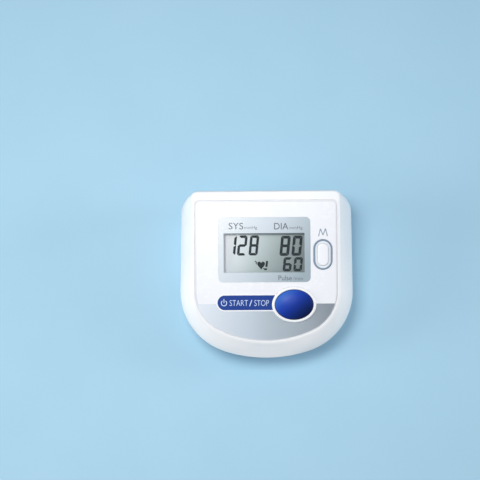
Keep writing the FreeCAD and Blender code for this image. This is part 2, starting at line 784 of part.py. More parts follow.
def make_lower_case():
    skin = lower_skin(as_size(0), foot_lift)
    hollow = lower_skin(wall, floor_top)
    bay_outer = box((-(bay_half + bay_wall), bay_front - bay_wall, foot_lift),
                    (bay_half * 2 + bay_wall * 2, bay_length + bay_wall * 2, bay_top + bay_wall - foot_lift))
    bay_inner = box((-bay_half, bay_front, foot_lift - tool_margin),
                    (bay_half * 2, bay_length, bay_top - foot_lift + tool_margin))
    posts = [cylinder(post_radius, post_top - foot_lift, (x, y, foot_lift)) for x, y in post_places]
    wells = [cylinder(screw_head_radius + fit_gap, screw_seat - foot_lift + tool_margin,
                      (x, y, foot_lift - tool_margin)) for x, y in post_places]
    shafts = [cylinder(screw_radius + fit_gap, post_cap * 2, (x, y, screw_seat - fit_gap))
              for x, y in post_places]
    feet = [cylinder(foot_radius + fit_gap, foot_sink + tool_margin, (x, y, foot_lift - tool_margin))
            for x, y in foot_places]
    outside = as_size(0)
    socket_pad = common(wall_pad((-case_width / 2, air_y, air_height), "+X"),
                        lower_skin(outside, foot_lift))
    jack_pad = common(wall_pad((jack_x, case_depth / 2, jack_height), "-Y"),
                      lower_skin(outside, foot_lift))
    socket_hole = cylinder(socket_radius + fit_gap, pad_depth * 2,
                           (-case_width / 2 - pad_depth / 2, air_y, air_height), "+X")
    jack_hole = cylinder(jack_radius + fit_gap, pad_depth * 2,
                         (jack_x, case_depth / 2 + pad_depth / 2, jack_height), "-Y")
    saddles = []
    for middle, radius in ((pump_left + motor_length / 3, motor_radius),
                           (pump_right - head_length / 2, head_radius)):
        block = box((middle - cushion_width / 2, pump_y - radius, floor_top - fit_gap),
                    (cushion_width, radius * 2, saddle_height))
        seat = cylinder(radius + cushion_wall + fit_gap, cushion_width * 2,
                        (middle - cushion_width, pump_y, pump_height), "+X")
        saddles.append(cut(block, seat))
    rest = box((pump_branch - cushion_width / 2, air_y - manifold_radius, floor_top - fit_gap),
               (cushion_width, manifold_radius * 2, air_height - manifold_radius - floor_top))
    valve_stop = box((valve_left + valve_width + fit_gap, air_y - valve_depth / 2, floor_top - fit_gap),
                     (bay_wall, valve_depth, saddle_height / 3))
    pins = [cylinder(door_pin_radius + running_gap, door_pin_length + tool_margin,
                     (side * (bay_half - tool_margin), bay_rear - door_pin_inset, door_pin_height),
                     "+X" if side > 0 else "-X") for side in (1, -1)]
    scoop = doc.addObject("Part::Sphere", "Scoop")
    bind(scoop, "Radius", scoop_radius)
    place(scoop, 0, bay_front - latch_nose, foot_lift + scoop_depth - scoop_radius)
    case = cut(fuse(cut(skin, hollow), bay_outer, socket_pad, jack_pad, rest, valve_stop, *posts, *saddles),
               bay_inner, scoop, socket_hole, jack_hole, *wells, *shafts, *feet, *pins)
    sub_part(case, "lower_case")


door_pin_inset = door_thickness / 2 + door_gap
door_pin_height = foot_lift + door_thickness / 2

# ------------------------------------------------------------------------- face panel and buttons


def make_face_panel():
    panel = plate("face_panel_blank", panel_loop(as_size(0)), panel_thickness, panel_floor)
    ring_long, ring_short = ring_half(panel_gap)
    low = panel_floor - tool_margin
    length = tool_margin * 3
    opened = cut(panel, window_prism(panel_gap, low, length),
                 face_ellipse(ring_long, ring_short, low, length),
                 memory_slot(surround_grow + panel_gap, low, length))
    sub_part(on_face(opened), "face_panel")


def make_display_window():
    pane = plate("display_window", rounded_loop(window_across, -window_down, window_width, window_height,
                                                window_corner),
                 window_thickness, -(window_thickness + panel_sink))
    sub_part(on_face(pane), "display_window")


def make_start_ring():
    outer_long, outer_short = ring_half(as_size(0))
    outer = face_ellipse(outer_long, outer_short, panel_floor, ring_rise - panel_floor)
    inner = face_ellipse(start_long / 2 + button_gap, start_short / 2 + button_gap,
                         panel_floor - tool_margin, tool_margin * 4)
    sub_part(on_face(cut(outer, inner)), "start_ring")


flange_top = -(ceiling + seat_gap)
flange_low = flange_top - button_flange
plunger_top = switch_height + plunger_rise - board_depth


def dome(across, down, half_width, half_length, edge, crown):
    """An ellipsoid whose top is a button's crown: it falls by crown at the button's edge, and
    its half width is dome_spread times the button's."""
    depth = crown / (1 - (1 - 1 / (dome_spread * dome_spread)).root())
    ball = doc.addObject("Part::Ellipsoid", "Dome")
    bind(ball, "Radius1", depth)
    bind(ball, "Radius2", half_width * dome_spread)
    bind(ball, "Radius3", half_length * dome_spread)
    return place(ball, across, -down, edge + crown - depth)


def make_start_button():
    full = face_ellipse(start_long / 2, start_short / 2, flange_low, start_edge + start_crown - flange_low)
    crown = dome(start_across, start_down, start_long / 2, start_short / 2, start_edge, start_crown)
    base = face_ellipse(start_long / 2, start_short / 2, flange_low, -flange_low)
    flange = face_ellipse(start_long / 2 + flange_reach, start_short / 2 + flange_reach, flange_low,
                          button_flange)
    stem = cylinder(stem_radius, flange_low - plunger_top + fit_gap, (start_across, -start_down, plunger_top))
    button = fuse(common(full, crown), base, flange, stem)
    sub_part(on_face(button), "start_button")


def make_memory_surround():
    blank = memory_slot(surround_grow, -(dish_depth + dish_floor), dish_depth + dish_floor + panel_gap)
    moat = memory_slot(dish_grow, -dish_depth, tool_margin * 2)
    hole = memory_slot(button_gap, -tool_margin * 2, tool_margin * 4)
    sub_part(on_face(cut(blank, moat, hole)), "memory_surround")


def make_memory_button():
    key = memory_slot(as_size(0), flange_low, memory_rise - flange_low)
    flange = memory_slot(flange_reach, flange_low, button_flange)
    stem = cylinder(stem_radius, flange_low - plunger_top + fit_gap,
                    (memory_across, -memory_down, plunger_top))
    sub_part(on_face(fuse(key, flange, stem)), "memory_button")


switch_places = {"start": (start_across, -start_down), "memory": (memory_across, -memory_down)}


def make_switches():
    housings = []
    for u, v in switch_places.values():
        block = box((u - switch_side / 2, v - switch_side / 2, -board_depth),
                    (switch_side, switch_side, switch_height))
        well = cylinder(plunger_radius + running_gap, switch_height, (u, v, switch_floor - board_depth))
        housings.append(cut(block, well))
    sub_part(on_face(group(*housings)), "tact_switches")
    for name, (u, v) in switch_places.items():
        low = switch_floor + button_travel + fit_gap * 2 - board_depth
        sub_part(on_face(cylinder_in_frame(plunger_radius, plunger_top - low, u, v, low)), f"{name}_plunger")


def cylinder_in_frame(radius, length, u, v, low):
    """A round bar along the face's normal as a body of its own, so that it can be placed."""
    body = doc.addObject("PartDesign::Body", "Peg")
    sketch = body.newObject("Sketcher::SketchObject", "Peg_outline")
    plane = next(item for item in body.Origin.OriginFeatures if item.Role == "XY_Plane")
    sketch.AttachmentSupport = [(plane, "")]
    sketch.MapMode = "FlatFace"
    add_circle(sketch, u, v, radius)
    bind(sketch, "AttachmentOffset.Base.z", low)
    pad = body.newObject("PartDesign::Pad", "Peg_pad")
    pad.Profile = sketch
    bind(pad, "Length", length)
    return body


# ------------------------------------------------------------------------- display stack and board

glass_low = -(glass_depth + glass_thickness)


def make_display():
    glass = plate("lcd_glass", rectangle_loop(window_across, -glass_down, glass_width, glass_height),
                  glass_thickness, glass_low)
    sub_part(on_face(glass), "lcd_glass")
    mirror = plate("lcd_reflector",
                   rectangle_loop(window_across, -glass_down, glass_width - reflector_inset * 2,
                                  glass_height - reflector_inset * 2),
                   reflector_thickness, glass_low - reflector_thickness)
    sub_part(on_face(mirror), "lcd_reflector")
    outer = face_prism(rectangle_loop(window_across, -glass_down, glass_width + holder_wall * 2,
                                      glass_height + holder_wall * 2),
                       -board_depth, board_depth - ceiling - fit_gap)
    seat = face_prism(rectangle_loop(window_across, -glass_down, glass_width + fit_gap * 2,
                                     glass_height + fit_gap * 2), glass_low, tool_margin * 4)
    zebra_room = zebra_width + fit_gap * 2
    well = face_prism(rectangle_loop(window_across, -glass_down, glass_width - holder_ledge * 2,
                                     glass_height), -board_depth - tool_margin, board_depth + tool_margin)
    sub_part(on_face(cut(outer, seat, well)), "lcd_holder")
    strips = []
    left = window_across - glass_width / 2 + holder_ledge + fit_gap
    span = glass_width - holder_ledge * 2 - fit_gap * 2
    for side in (1, -1):
        middle = -glass_down + side * (glass_height / 2 - zebra_room / 2)
        strips.append(box((left, middle - zebra_width / 2, -board_depth),
                          (span, zebra_width, glass_low + board_depth)))
    sub_part(on_face(group(*strips)), "zebra_strips")


def make_board():
    middle = start_across
    corners = [(-board_side, -board_front), (middle - tongue_side, -board_front),
               (middle - tongue_side, -tongue_front), (middle + tongue_side, -tongue_front),
               (middle + tongue_side, -board_front), (board_wide_side, -board_front),
               (board_wide_side, -board_step), (board_side, -board_step),
               (board_side, -board_rear), (-board_side, -board_rear)]
    holes = [(u, v, board_screw_radius + fit_gap) for u, v in standoff_places]
    board = plate("main_board", [(u, v, None) for u, v in corners], board_thickness, board_under, holes)
    sub_part(on_face(board), "main_board")
    screws = []
    for u, v in standoff_places:
        cap = cylinder(board_screw_head, board_screw_cap, (u, v, board_under - board_screw_cap))
        shank = cylinder(board_screw_radius, board_thickness + board_screw_bite, (u, v, board_under))
        screws.append(fuse(cap, shank))
    sub_part(on_face(group(*screws)), "board_screws")


def make_board_parts():
    packages = [box((u - width / 2, -(v + length / 2), board_under - thickness), (width, length, thickness))
                for u, v, width, length, thickness in chips.values()]
    sub_part(on_face(group(*packages)), "board_chips")
    places = [(capacitor_right, -capacitor_down), (capacitor_right, -(capacitor_down + capacitor_pitch)),
              (-capacitor_left, -chips["regulator"][1])]
    cans = [cylinder(capacitor_radius, capacitor_height, (u, v, board_under - capacitor_height))
            for u, v in places]
    sub_part(on_face(group(*cans)), "capacitors")
    low = board_under - buzzer_height
    buzzer = cylinder(buzzer_radius, buzzer_height, (buzzer_across, -buzzer_down, low))
    vent = cylinder(buzzer_vent, buzzer_height, (buzzer_across, -buzzer_down, low - buzzer_height / 2))
    sub_part(on_face(cut(buzzer, vent)), "buzzer")


def make_pressure_sensor():
    block = box((sensor_branch - sensor_side / 2, sensor_v - sensor_side / 2, board_under - sensor_height),
                (sensor_side, sensor_side, sensor_height))
    barb = cylinder(barb_radius, barb_length,
                    (sensor_branch, sensor_v, board_under - sensor_height - barb_length))
    sub_part(on_face(fuse(block, barb)), "pressure_sensor")


# ------------------------------------------------------------------------- cells, contacts and door


def make_cells():
    for index, x in enumerate(cell_places):
        plus_front = index % 2 == 0
        tip = bay_front + contact_thickness + seat_gap if plus_front else \
            bay_rear - contact_thickness - seat_gap
        way, sign = ("+Y", 1) if plus_front else ("-Y", -1)
        nub = cylinder(nub_radius, nub_length + fit_gap, (x, tip, cell_height), way)
        can = cylinder(cell_radius, cell_length, (x, tip + sign * nub_length, cell_height), way)
        sub_part(fuse(nub, can), f"battery_{index + 1}")


def make_contacts():
    plates = []
    low = cell_height - contact_height / 2
    for y, first_cells in ((bay_front, ((0, 0), (1, 2), (3, 3))),
                           (bay_rear - contact_thickness, ((0, 1), (2, 3)))):
        for first, last in first_cells:
            left = cell_places[first] - contact_width / 2
            span = cell_places[last] - cell_places[first] + contact_width
            plates.append(box((left, y, low), (span, contact_thickness, contact_height)))
    sub_part(group(*plates), "battery_contacts")
    margin = spring_wire.value + fit_gap.value / 2
    length = spring_length.value - margin * 2
    ends = [(bay_rear - contact_thickness).value - margin - length,
            (bay_front + contact_thickness).value + margin]
    shape_part("battery_springs", [spring_between(x.value, ends[index % 2], cell_height.value, length)
                                   for index, x in enumerate(cell_places)])


def make_battery_door():
    half = bay_half - door_gap
    low_y, rear_y = bay_front + door_gap, bay_rear - door_pin_inset
    slab = box((-half, low_y, foot_lift), (half * 2, rear_y - low_y, door_thickness))
    knuckle = cylinder(door_thickness / 2, half * 2, (-half, rear_y, door_pin_height), "+X")
    pins = [cylinder(door_pin_radius, door_pin_length, (side * (half - fit_gap), rear_y, door_pin_height),
                     "+X" if side > 0 else "-X") for side in (1, -1)]
    slots = [box((side * latch_width / 2 - latch_slot / 2, low_y - fit_gap, foot_lift - fit_gap),
                 (latch_slot, latch_reach, door_thickness + fit_gap * 2)) for side in (1, -1)]
    nose = box((-latch_width / 2 + latch_slot, low_y, foot_lift + door_thickness - fit_gap),
               (latch_width - latch_slot * 2, latch_nose, latch_nose))
    sub_part(cut(fuse(slab, knuckle, nose, *pins), *slots), "battery_door")


# ------------------------------------------------------------------------- pump, valve and air line


def make_pump():
    can = cylinder(motor_radius, motor_length - fit_gap, (pump_left, pump_y, pump_height), "+X")
    hub = cylinder(hub_radius, hub_length, (pump_left - hub_length, pump_y, pump_height), "+X")
    sub_part(fuse(can, hub), "pump_motor")
    head_left = pump_left + motor_length
    head = cylinder(head_radius, head_length, (head_left, pump_y, pump_height), "+X")
    barb = cylinder(barb_radius, barb_length + fit_gap, (pump_right - fit_gap, pump_y, air_height), "+X")
    sub_part(fuse(head, barb), "pump_head")
    cushions = []
    for middle, radius in ((pump_left + motor_length / 3, motor_radius),
                           (pump_right - head_length / 2, head_radius)):
        start = (middle - cushion_width / 2, pump_y, pump_height)
        band = cylinder(radius + cushion_wall, cushion_width, start, "+X")
        inside = cylinder(radius, cushion_width * 2, (middle - cushion_width, pump_y, pump_height), "+X")
        cushions.append(cut(band, inside))
    sub_part(group(*cushions), "pump_cushions")


def make_valve():
    middle_x = valve_left + valve_width / 2
    low_y = air_y - valve_depth / 2
    outer = box((valve_left, low_y, floor_top), (valve_width, valve_depth, valve_height))
    inner = box((valve_left + yoke_thickness, low_y - tool_margin, floor_top + yoke_thickness),
                (valve_width - yoke_thickness * 2, valve_depth + tool_margin * 2,
                 valve_height - yoke_thickness * 2))
    barb = cylinder(barb_radius, barb_length + fit_gap, (valve_left + fit_gap, air_y, air_height), "-X")
    sub_part(fuse(cut(outer, inner), barb), "valve_yoke")
    coil = cylinder(coil_radius, valve_height - yoke_thickness * 2,
                    (middle_x, air_y, floor_top + yoke_thickness))
    sub_part(coil, "valve_coil")


def make_manifold():
    inner = barb_radius / 2
    pipe = cylinder(manifold_radius, manifold_right - manifold_left, (manifold_left, air_y, air_height), "+X")
    left = cylinder(barb_radius, barb_length + manifold_radius,
                    (manifold_left + manifold_radius, air_y, air_height), "-X")
    right = cylinder(barb_radius, barb_length + manifold_radius,
                     (manifold_right - manifold_radius, air_y, air_height), "+X")
    front = cylinder(barb_radius, barb_length + manifold_radius, (pump_branch, air_y, air_height), "-Y")
    top = cylinder(barb_radius, barb_length + manifold_radius, (sensor_branch, air_y, air_height), "face")
    bore = cylinder(inner, manifold_right - manifold_left + barb_length * 3,
                    (manifold_left - barb_length * 1.5, air_y, air_height), "+X")
    sub_part(cut(fuse(pipe, left, right, front, top), bore), "air_manifold")


def make_hoses():
    gap = fit_gap.value
    y, z = air_y.value, air_height.value
    reach = manifold_radius.value + gap
    outer, inner = hose_radius.value, hose_bore.value
    pump_start = (pump_right.value + gap, pump_y.value, z)
    pump_corner = (pump_branch.value, pump_y.value, z)
    pump_end = (pump_branch.value, y - reach, z)
    shape_part("pump_hose", [tube_along([pump_start, pump_corner, pump_end], hose_bend.value, outer, inner)])
    sensor_low = board_under.value - sensor_height.value - gap
    sensor_end = face_point(sensor_branch.value, sensor_v.value, sensor_low)
    sensor_start = face_point(sensor_branch.value, sensor_v.value, manifold_w.value + reach)
    shape_part("sensor_hose", [tube_along([sensor_start, sensor_end], 1, outer, inner)])
    valve_ends = [(manifold_right.value + gap, y, z), (valve_left.value - gap, y, z)]
    shape_part("valve_hose", [tube_along(valve_ends, 1, outer, inner)])
    socket_end = socket_face + socket_length
    socket_ends = [(socket_end.value + gap, y, z), (manifold_left.value - gap, y, z)]
    shape_part("socket_hose", [tube_along(socket_ends, 1, outer, inner)])


def make_air_socket():
    body = cylinder(socket_radius, socket_length, (socket_face, air_y, air_height), "+X")
    flange = cylinder(socket_flange, flange_thickness,
                      (pad_depth + fit_gap - case_width / 2, air_y, air_height), "+X")
    barb = cylinder(barb_radius, barb_length + fit_gap,
                    (socket_face + socket_length - fit_gap, air_y, air_height), "+X")
    bore = cylinder(socket_bore, socket_bore_depth + tool_margin,
                    (socket_face - tool_margin, air_y, air_height), "+X")
    passage = cylinder(air_passage, socket_length * 2, (socket_face, air_y, air_height), "+X")
    sub_part(cut(fuse(body, flange, barb), bore, passage), "air_socket")


def make_dc_jack():
    snout = cylinder(jack_radius, pad_depth, (jack_x, jack_face, jack_height), "-Y")
    rear = case_depth / 2 - pad_depth - fit_gap
    block = box((jack_x - jack_width / 2, rear - jack_length, jack_height - jack_width / 2),
                (jack_width, jack_length, jack_width))
    bore = cylinder(jack_bore, jack_bore_depth + tool_margin,
                    (jack_x, jack_face + tool_margin, jack_height), "-Y")
    sub_part(cut(fuse(snout, block), bore), "dc_jack")
    pin = cylinder(jack_pin, jack_bore_depth - 1, (jack_x, jack_face - jack_bore_depth, jack_height), "+Y")
    sub_part(pin, "dc_jack_pin")


# ------------------------------------------------------------------------- screws, feet and leads


def make_fasteners():
    screws = []
    for x, y in post_places:
        cap = cylinder(screw_head_radius, screw_head_height, (x, y, screw_seat - screw_head_height))
        shank = cylinder(screw_radius, post_cap + screw_bite, (x, y, screw_seat))
        half, low = screw_slot / 2, screw_seat - screw_head_height - screw_slot / 2
        slot = box((x - screw_head_radius, y - half, low), (screw_head_radius * 2, screw_slot, screw_slot))
        cross = box((x - half, y - screw_head_radius, low), (screw_slot, screw_head_radius * 2, screw_slot))
        screws.append(cut(fuse(cap, shank), slot, cross))
    sub_part(group(*screws), "case_screws")
    feet = [cylinder(foot_radius, foot_lift + foot_sink, (x, y, 0)) for x, y in foot_places]
    sub_part(group(*feet), "rubber_feet")


def make_leads():
    """Pairs of leads from the motor, the valve, the cells and the jack up to the board."""
    gap = fit_gap.value
    under = board_under.value - gap
    drop = under - wire_drop.value
    reach = wire_exit.value
    edge = wire_edge.value - board_front.value

    def pair(label, route):
        paths = [route(side * wire_pitch.value / 2) for side in (1, -1)]
        shape_part(label, [tube_along(path, wire_bend.value, wire_radius.value) for path in paths])

    def rising(start, u, v):
        """A lead straight up from its start to half way, and from there to the board."""
        end = face_point(u, v, under - wire_radius.value)
        return [start, (start[0], start[1], (start[2] + end[2]) / 2), end]

    def pump_route(shift):
        x, y = pump_left.value, pump_y.value + pump_wire_side.value + shift
        z = pump_height.value
        knee = face_point(-shift - pump_wire_across.value, edge, drop)
        return [(x - gap, y, z), (x - reach, y, z), (x - reach, y, knee[2]), knee,
                face_point(knee[0], edge, under)]

    def valve_route(shift):
        x = valve_left.value + wire_pitch.value / 2 + wire_radius.value + shift
        return rising((x, air_y.value, floor_top.value + valve_height.value + gap), x, edge)

    def cell_route(shift):
        x = math.copysign(cell_places[3].value, shift)
        y = bay_front.value - bay_wall.value - wire_radius.value - gap
        return rising((x, y, bay_top.value - reach / 2), x, edge)

    def jack_route(shift):
        x = (rear_post_x - post_radius - wire_pitch - wire_radius * 2).value + shift
        y = case_depth.value / 2 - pad_depth.value - jack_length.value - gap * 2
        end = face_point(x, -jack_wire_down.value, under - wire_radius.value)
        z = jack_height.value
        return [(x, y, z), (x, end[1], z), end]

    pair("pump_leads", pump_route)
    pair("valve_leads", valve_route)
    pair("battery_leads", cell_route)
    pair("jack_leads", jack_route)


# ------------------------------------------------------------------------- build, check and write

for make in (make_lower_case, make_upper_case, make_face_panel, make_display_window, make_start_ring,
             make_start_button, make_memory_surround, make_memory_button, make_switches, make_display,
             make_board, make_board_parts, make_pressure_sensor, make_cells, make_contacts,
             make_battery_door, make_pump, make_valve, make_manifold, make_hoses, make_air_socket,
             make_dc_jack, make_fasteners, make_leads):
    make()
doc.recompute()

faults = [f"{thing.Name} {thing.Label}: {thing.State}" for thing in doc.Objects
          if "Invalid" in thing.State or "Error" in thing.State]
for thing in parts:
    if thing.Shape.isNull() or not thing.Shape.isValid():
        faults.append(f"{thing.Label}: no valid shape")
if faults:
    raise RuntimeError("\n".join(faults))

os.makedirs("parts", exist_ok=True)
for thing in parts:
    thing.Shape.exportStep(os.path.join("parts", f"{thing.Label}.step"))
    print(thing.Label, len(thing.Shape.Solids), round(thing.Shape.Volume, 1))
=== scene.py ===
import math

import bpy
from mathutils import Matrix, Vector


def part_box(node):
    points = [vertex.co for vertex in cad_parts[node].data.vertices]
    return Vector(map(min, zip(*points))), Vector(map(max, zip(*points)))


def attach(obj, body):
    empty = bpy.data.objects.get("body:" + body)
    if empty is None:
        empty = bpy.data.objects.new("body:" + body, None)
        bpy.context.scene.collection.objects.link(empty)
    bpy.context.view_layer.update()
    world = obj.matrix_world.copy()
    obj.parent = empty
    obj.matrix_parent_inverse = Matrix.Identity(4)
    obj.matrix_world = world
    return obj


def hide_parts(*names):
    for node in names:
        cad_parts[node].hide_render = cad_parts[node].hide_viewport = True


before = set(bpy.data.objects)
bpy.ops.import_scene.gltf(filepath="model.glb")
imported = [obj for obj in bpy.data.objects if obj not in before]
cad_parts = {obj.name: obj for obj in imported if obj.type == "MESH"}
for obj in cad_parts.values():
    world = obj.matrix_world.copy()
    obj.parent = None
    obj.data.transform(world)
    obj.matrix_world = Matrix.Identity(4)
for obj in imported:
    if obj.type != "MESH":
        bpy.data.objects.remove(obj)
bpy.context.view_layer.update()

# ------------------------------------------------------------------ lower case
# The tray of the housing, moulded in white ABS with a fine spark texture. Its wall draws in
# towards the base, and the battery bay, the screw wells and the foot seats are moulded in.

MM = 0.001


def alone(piece):
    """Leaves one piece selected and active."""
    bpy.ops.object.select_all(action="DESELECT")
    piece.select_set(True)
    bpy.context.view_layer.objects.active = piece


def named(name):
    """Names the piece that was just made."""
    piece = bpy.context.object
    piece.name = piece.data.name = name
    return piece


def outline(half, rear, straight_end, front, radius, corner):
    """The unit's outline, counter-clockwise from the right end of its rear edge: straight rear
    and sides, and a front of one wide arc that runs into an arc at each side."""
    across, reach = half - radius, straight_end - front
    wide = (across ** 2 + reach ** 2 - radius ** 2) / (2 * (reach - radius))
    middle = front + wide
    share = wide / (wide - radius)
    meet_x, meet_y = across * share, middle - (wide - reach) * share
    points = []

    def run(start, end, count):
        for step in range(count):
            part = step / count
            points.append((start[0] + (end[0] - start[0]) * part, start[1] + (end[1] - start[1]) * part))

    def arc(x, y, size, start, end, count):
        for step in range(count):
            turn = start + (end - start) * step / count
            points.append((x + size * math.cos(turn), y + size * math.sin(turn)))

    lean_side = math.atan2(meet_y - straight_end, -meet_x + across) % (2 * math.pi)
    lean_front = math.atan2(meet_y - middle, -meet_x) % (2 * math.pi)
    run((half - corner, rear), (corner - half, rear), 20)
    arc(corner - half, rear - corner, corner, math.pi / 2, math.pi, 10)
    run((-half, rear - corner), (-half, straight_end), 18)
    arc(-across, straight_end, radius, math.pi, lean_side, 24)
    arc(0, middle, wide, lean_front, 3 * math.pi - lean_front, 32)
    arc(across, straight_end, radius, 3 * math.pi - lean_side, 2 * math.pi, 24)
    run((half, straight_end), (half, rear - corner), 18)
    arc(half - corner, rear - corner, corner, 0, math.pi / 2, 10)
    return points


HALF_WIDTH, HALF_DEPTH, STRAIGHT_END = 62, 61, -12
SIDE_RADIUS, REAR_CORNER, WALL = 46.5, 14.5, 2.2


def level(inset, height):
    """The widest outline drawn in by an inset, level at a height."""
    flat = outline(HALF_WIDTH - inset, HALF_DEPTH - inset, STRAIGHT_END, inset - HALF_DEPTH,
                   SIDE_RADIUS - inset, REAR_CORNER - inset)
    return [Vector((x, y, height)) * MM for x, y in flat]


def curve_through(values, part, middle=0.555):
    """A value on the smooth curve through three values, at a share of the way along it."""
    first, second, third = values
    return (first * (part - middle) * (part - 1) / middle
            + second * part * (part - 1) / (middle * (middle - 1))
            + third * part * (part - middle) / (1 - middle))


def skin(name, rings, caps=True):
    """A shell drawn ring by ring: a circle laid on the first ring, then extruded to the next."""
    bpy.ops.mesh.primitive_circle_add(vertices=len(rings[0]))
    piece = named(name)
    for vertex, place in zip(piece.data.vertices, rings[0]):
        vertex.co = place
    bpy.ops.object.mode_set(mode="EDIT")
    bpy.ops.mesh.select_mode(type="VERT")
    bpy.ops.mesh.select_all(action="SELECT")
    for before, after in zip(rings, rings[1:]):
        bpy.ops.mesh.extrude_edges_move()
        bpy.ops.object.mode_set(mode="OBJECT")
        following = {tuple(round(c, 7) for c in place): target for place, target in zip(before, after)}
        for vertex in piece.data.vertices:
            if vertex.select:
                vertex.co = following[tuple(round(c, 7) for c in vertex.co)]
        bpy.ops.object.mode_set(mode="EDIT")
    bpy.ops.mesh.select_all(action="SELECT")
    if caps:
        bpy.ops.mesh.fill_holes(sides=0)
    else:
        bpy.ops.mesh.remove_doubles(threshold=1e-6)
    bpy.ops.mesh.normals_make_consistent(inside=False)
    bpy.ops.object.mode_set(mode="OBJECT")
    return piece


def carve(piece, tool, way="DIFFERENCE"):
    """Cuts a tool out of a piece, or joins it on, and clears the tool away."""
    alone(piece)
    change = piece.modifiers.new(way.lower(), "BOOLEAN")
    change.operation, change.object, change.solver = way, tool, "EXACT"
    bpy.ops.object.modifier_apply(modifier=change.name)
    bpy.data.objects.remove(tool)
    return piece


def round_edges(piece, width, test, segments=3):
    """Rounds the edges whose two ends pass a test."""
    alone(piece)
    bpy.ops.object.mode_set(mode="EDIT")
    bpy.ops.mesh.select_mode(type="EDGE")
    bpy.ops.mesh.select_all(action="DESELECT")
    bpy.ops.object.mode_set(mode="OBJECT")
    places = [vertex.co / MM for vertex in piece.data.vertices]
    for edge in piece.data.edges:
        edge.select = test(places[edge.vertices[0]], places[edge.vertices[1]])
    bpy.ops.object.mode_set(mode="EDIT")
    bpy.ops.mesh.bevel(offset=width * MM, segments=segments, affect="EDGES")
    bpy.ops.object.mode_set(mode="OBJECT")
    return piece


def lying_on(ring):
    """A test for edges that lie on a ring."""
    marks = {tuple(round(c / MM, 2) for c in place) for place in ring}
    return lambda a, b: all(tuple(round(c, 2) for c in end) in marks for end in (a, b))


def soften(piece, width, segments=2):
    """Rounds every edge that turns by more than 35 degrees."""
    alone(piece)
    change = piece.modifiers.new("soften", "BEVEL")
    change.width, change.segments, change.limit_method = width * MM, segments, "ANGLE"
    change.angle_limit = math.radians(35)
    bpy.ops.object.modifier_apply(modifier=change.name)
    return piece


def bar(name, radius, start, end, sides=48):
    """A round bar between two points given in millimetres."""
    start, end = Vector(start), Vector(end)
    way = (end - start).normalized()
    bpy.ops.mesh.primitive_cylinder_add(vertices=sides, radius=radius * MM, depth=(end - start).length * MM)
    piece = named(name)
    turn = way.to_track_quat("Z", "Y").to_matrix().to_4x4()
    piece.data.transform(Matrix.Translation((start + end) / 2 * MM) @ turn)
    return piece


def block(name, low, high):
    """A rectangular block between two corners given in millimetres."""
    bpy.ops.mesh.primitive_cube_add(size=1)
    piece = named(name)
    low, high = Vector(low), Vector(high)
    piece.data.transform(Matrix.Translation((low + high) / 2 * MM)
                         @ Matrix.Diagonal((*((high - low) * MM), 1)))
    return piece


def joined(name, *pieces):
    """Several pieces as one object under a name."""
    alone(pieces[0])
    for piece in pieces[1:]:
        piece.select_set(True)
    bpy.ops.object.join()
    return named(name)


def tone(red, green, blue):
    """A colour written in screen values, 0 to 255, as linear light."""
    return (*[c / 255 / 12.92 if c <= 10 else ((c / 255 + 0.055) / 1.055) ** 2.4
              for c in (red, green, blue)], 1)


class Finish:
    """A finish being mixed: its material, its shader and the nodes that read the piece's own place."""

    def __init__(self, name, **constants):
        self.material = bpy.data.materials.new(name)
        self.material.use_nodes = True
        self.tree = self.material.node_tree
        self.shader = self.tree.nodes["Principled BSDF"]
        self.place = self.tree.nodes.new("ShaderNodeTexCoord").outputs["Object"]
        for socket, value in constants.items():
            self.shader.inputs[socket.replace("_", " ")].default_value = value

    def node(self, kind, values=None, **settings):
        made = self.tree.nodes.new("ShaderNode" + kind)
        for key, value in settings.items():
            setattr(made, key, value)
        for socket, value in (values or {}).items():
            if isinstance(value, bpy.types.NodeSocket):
                self.tree.links.new(value, made.inputs[socket])
            else:
                made.inputs[socket].default_value = value
        return made

    def noise(self, size, detail=3.0, rough=0.5):
        """Cloudy noise whose grains measure about size millimetres."""
        grain = self.node("TexNoise", {"Vector": self.place, "Scale": 1 / (size * MM),
                                       "Detail": detail, "Roughness": rough})
        return grain.outputs["Fac"]

    def colours(self, factor, *stops):
        """A ramp of colours over a factor: each stop is a place from 0 to 1 and screen values."""
        ramp = self.node("ValToRGB", {"Fac": factor})
        marks = ramp.color_ramp.elements
        for _ in stops[2:]:
            marks.new(0.5)
        for mark, (place, colour) in zip(marks, stops):
            mark.position, mark.color = place, tone(*colour)
        return ramp.outputs["Color"]

    def spread(self, factor, low, high):
        """A noise, which mostly lies from 0.3 to 0.7, stretched to run from low to high."""
        return self.node("MapRange", {"Value": factor, "From Min": 0.3, "From Max": 0.7,
                                      "To Min": low, "To Max": high}).outputs["Result"]

    def across(self, way, start, end):
        """A factor that runs from 0 to 1 along a direction of the piece, between two distances."""
        along = self.node("VectorMath", {0: self.place, 1: way}, operation="DOT_PRODUCT").outputs["Value"]
        return self.node("MapRange", {"Value": along, "From Min": start, "From Max": end}).outputs["Result"]

    def feed(self, socket, value):
        self.tree.links.new(value, self.shader.inputs[socket])
        return self

    def cloudy(self, cloud, dark, light, patch, low, high):
        """A colour that drifts in clouds and a gloss that drifts in patches, both of a size."""
        self.feed("Base Color", self.colours(self.noise(cloud), (0.3, dark), (0.7, light)))
        return self.feed("Roughness", self.spread(self.noise(patch), low, high))

    def relief(self, height, depth, strength=0.5):
        """Small bumps of a depth in millimetres."""
        bump = self.node("Bump", {"Height": height, "Distance": depth * MM, "Strength": strength})
        return self.feed("Normal", bump.outputs["Normal"])


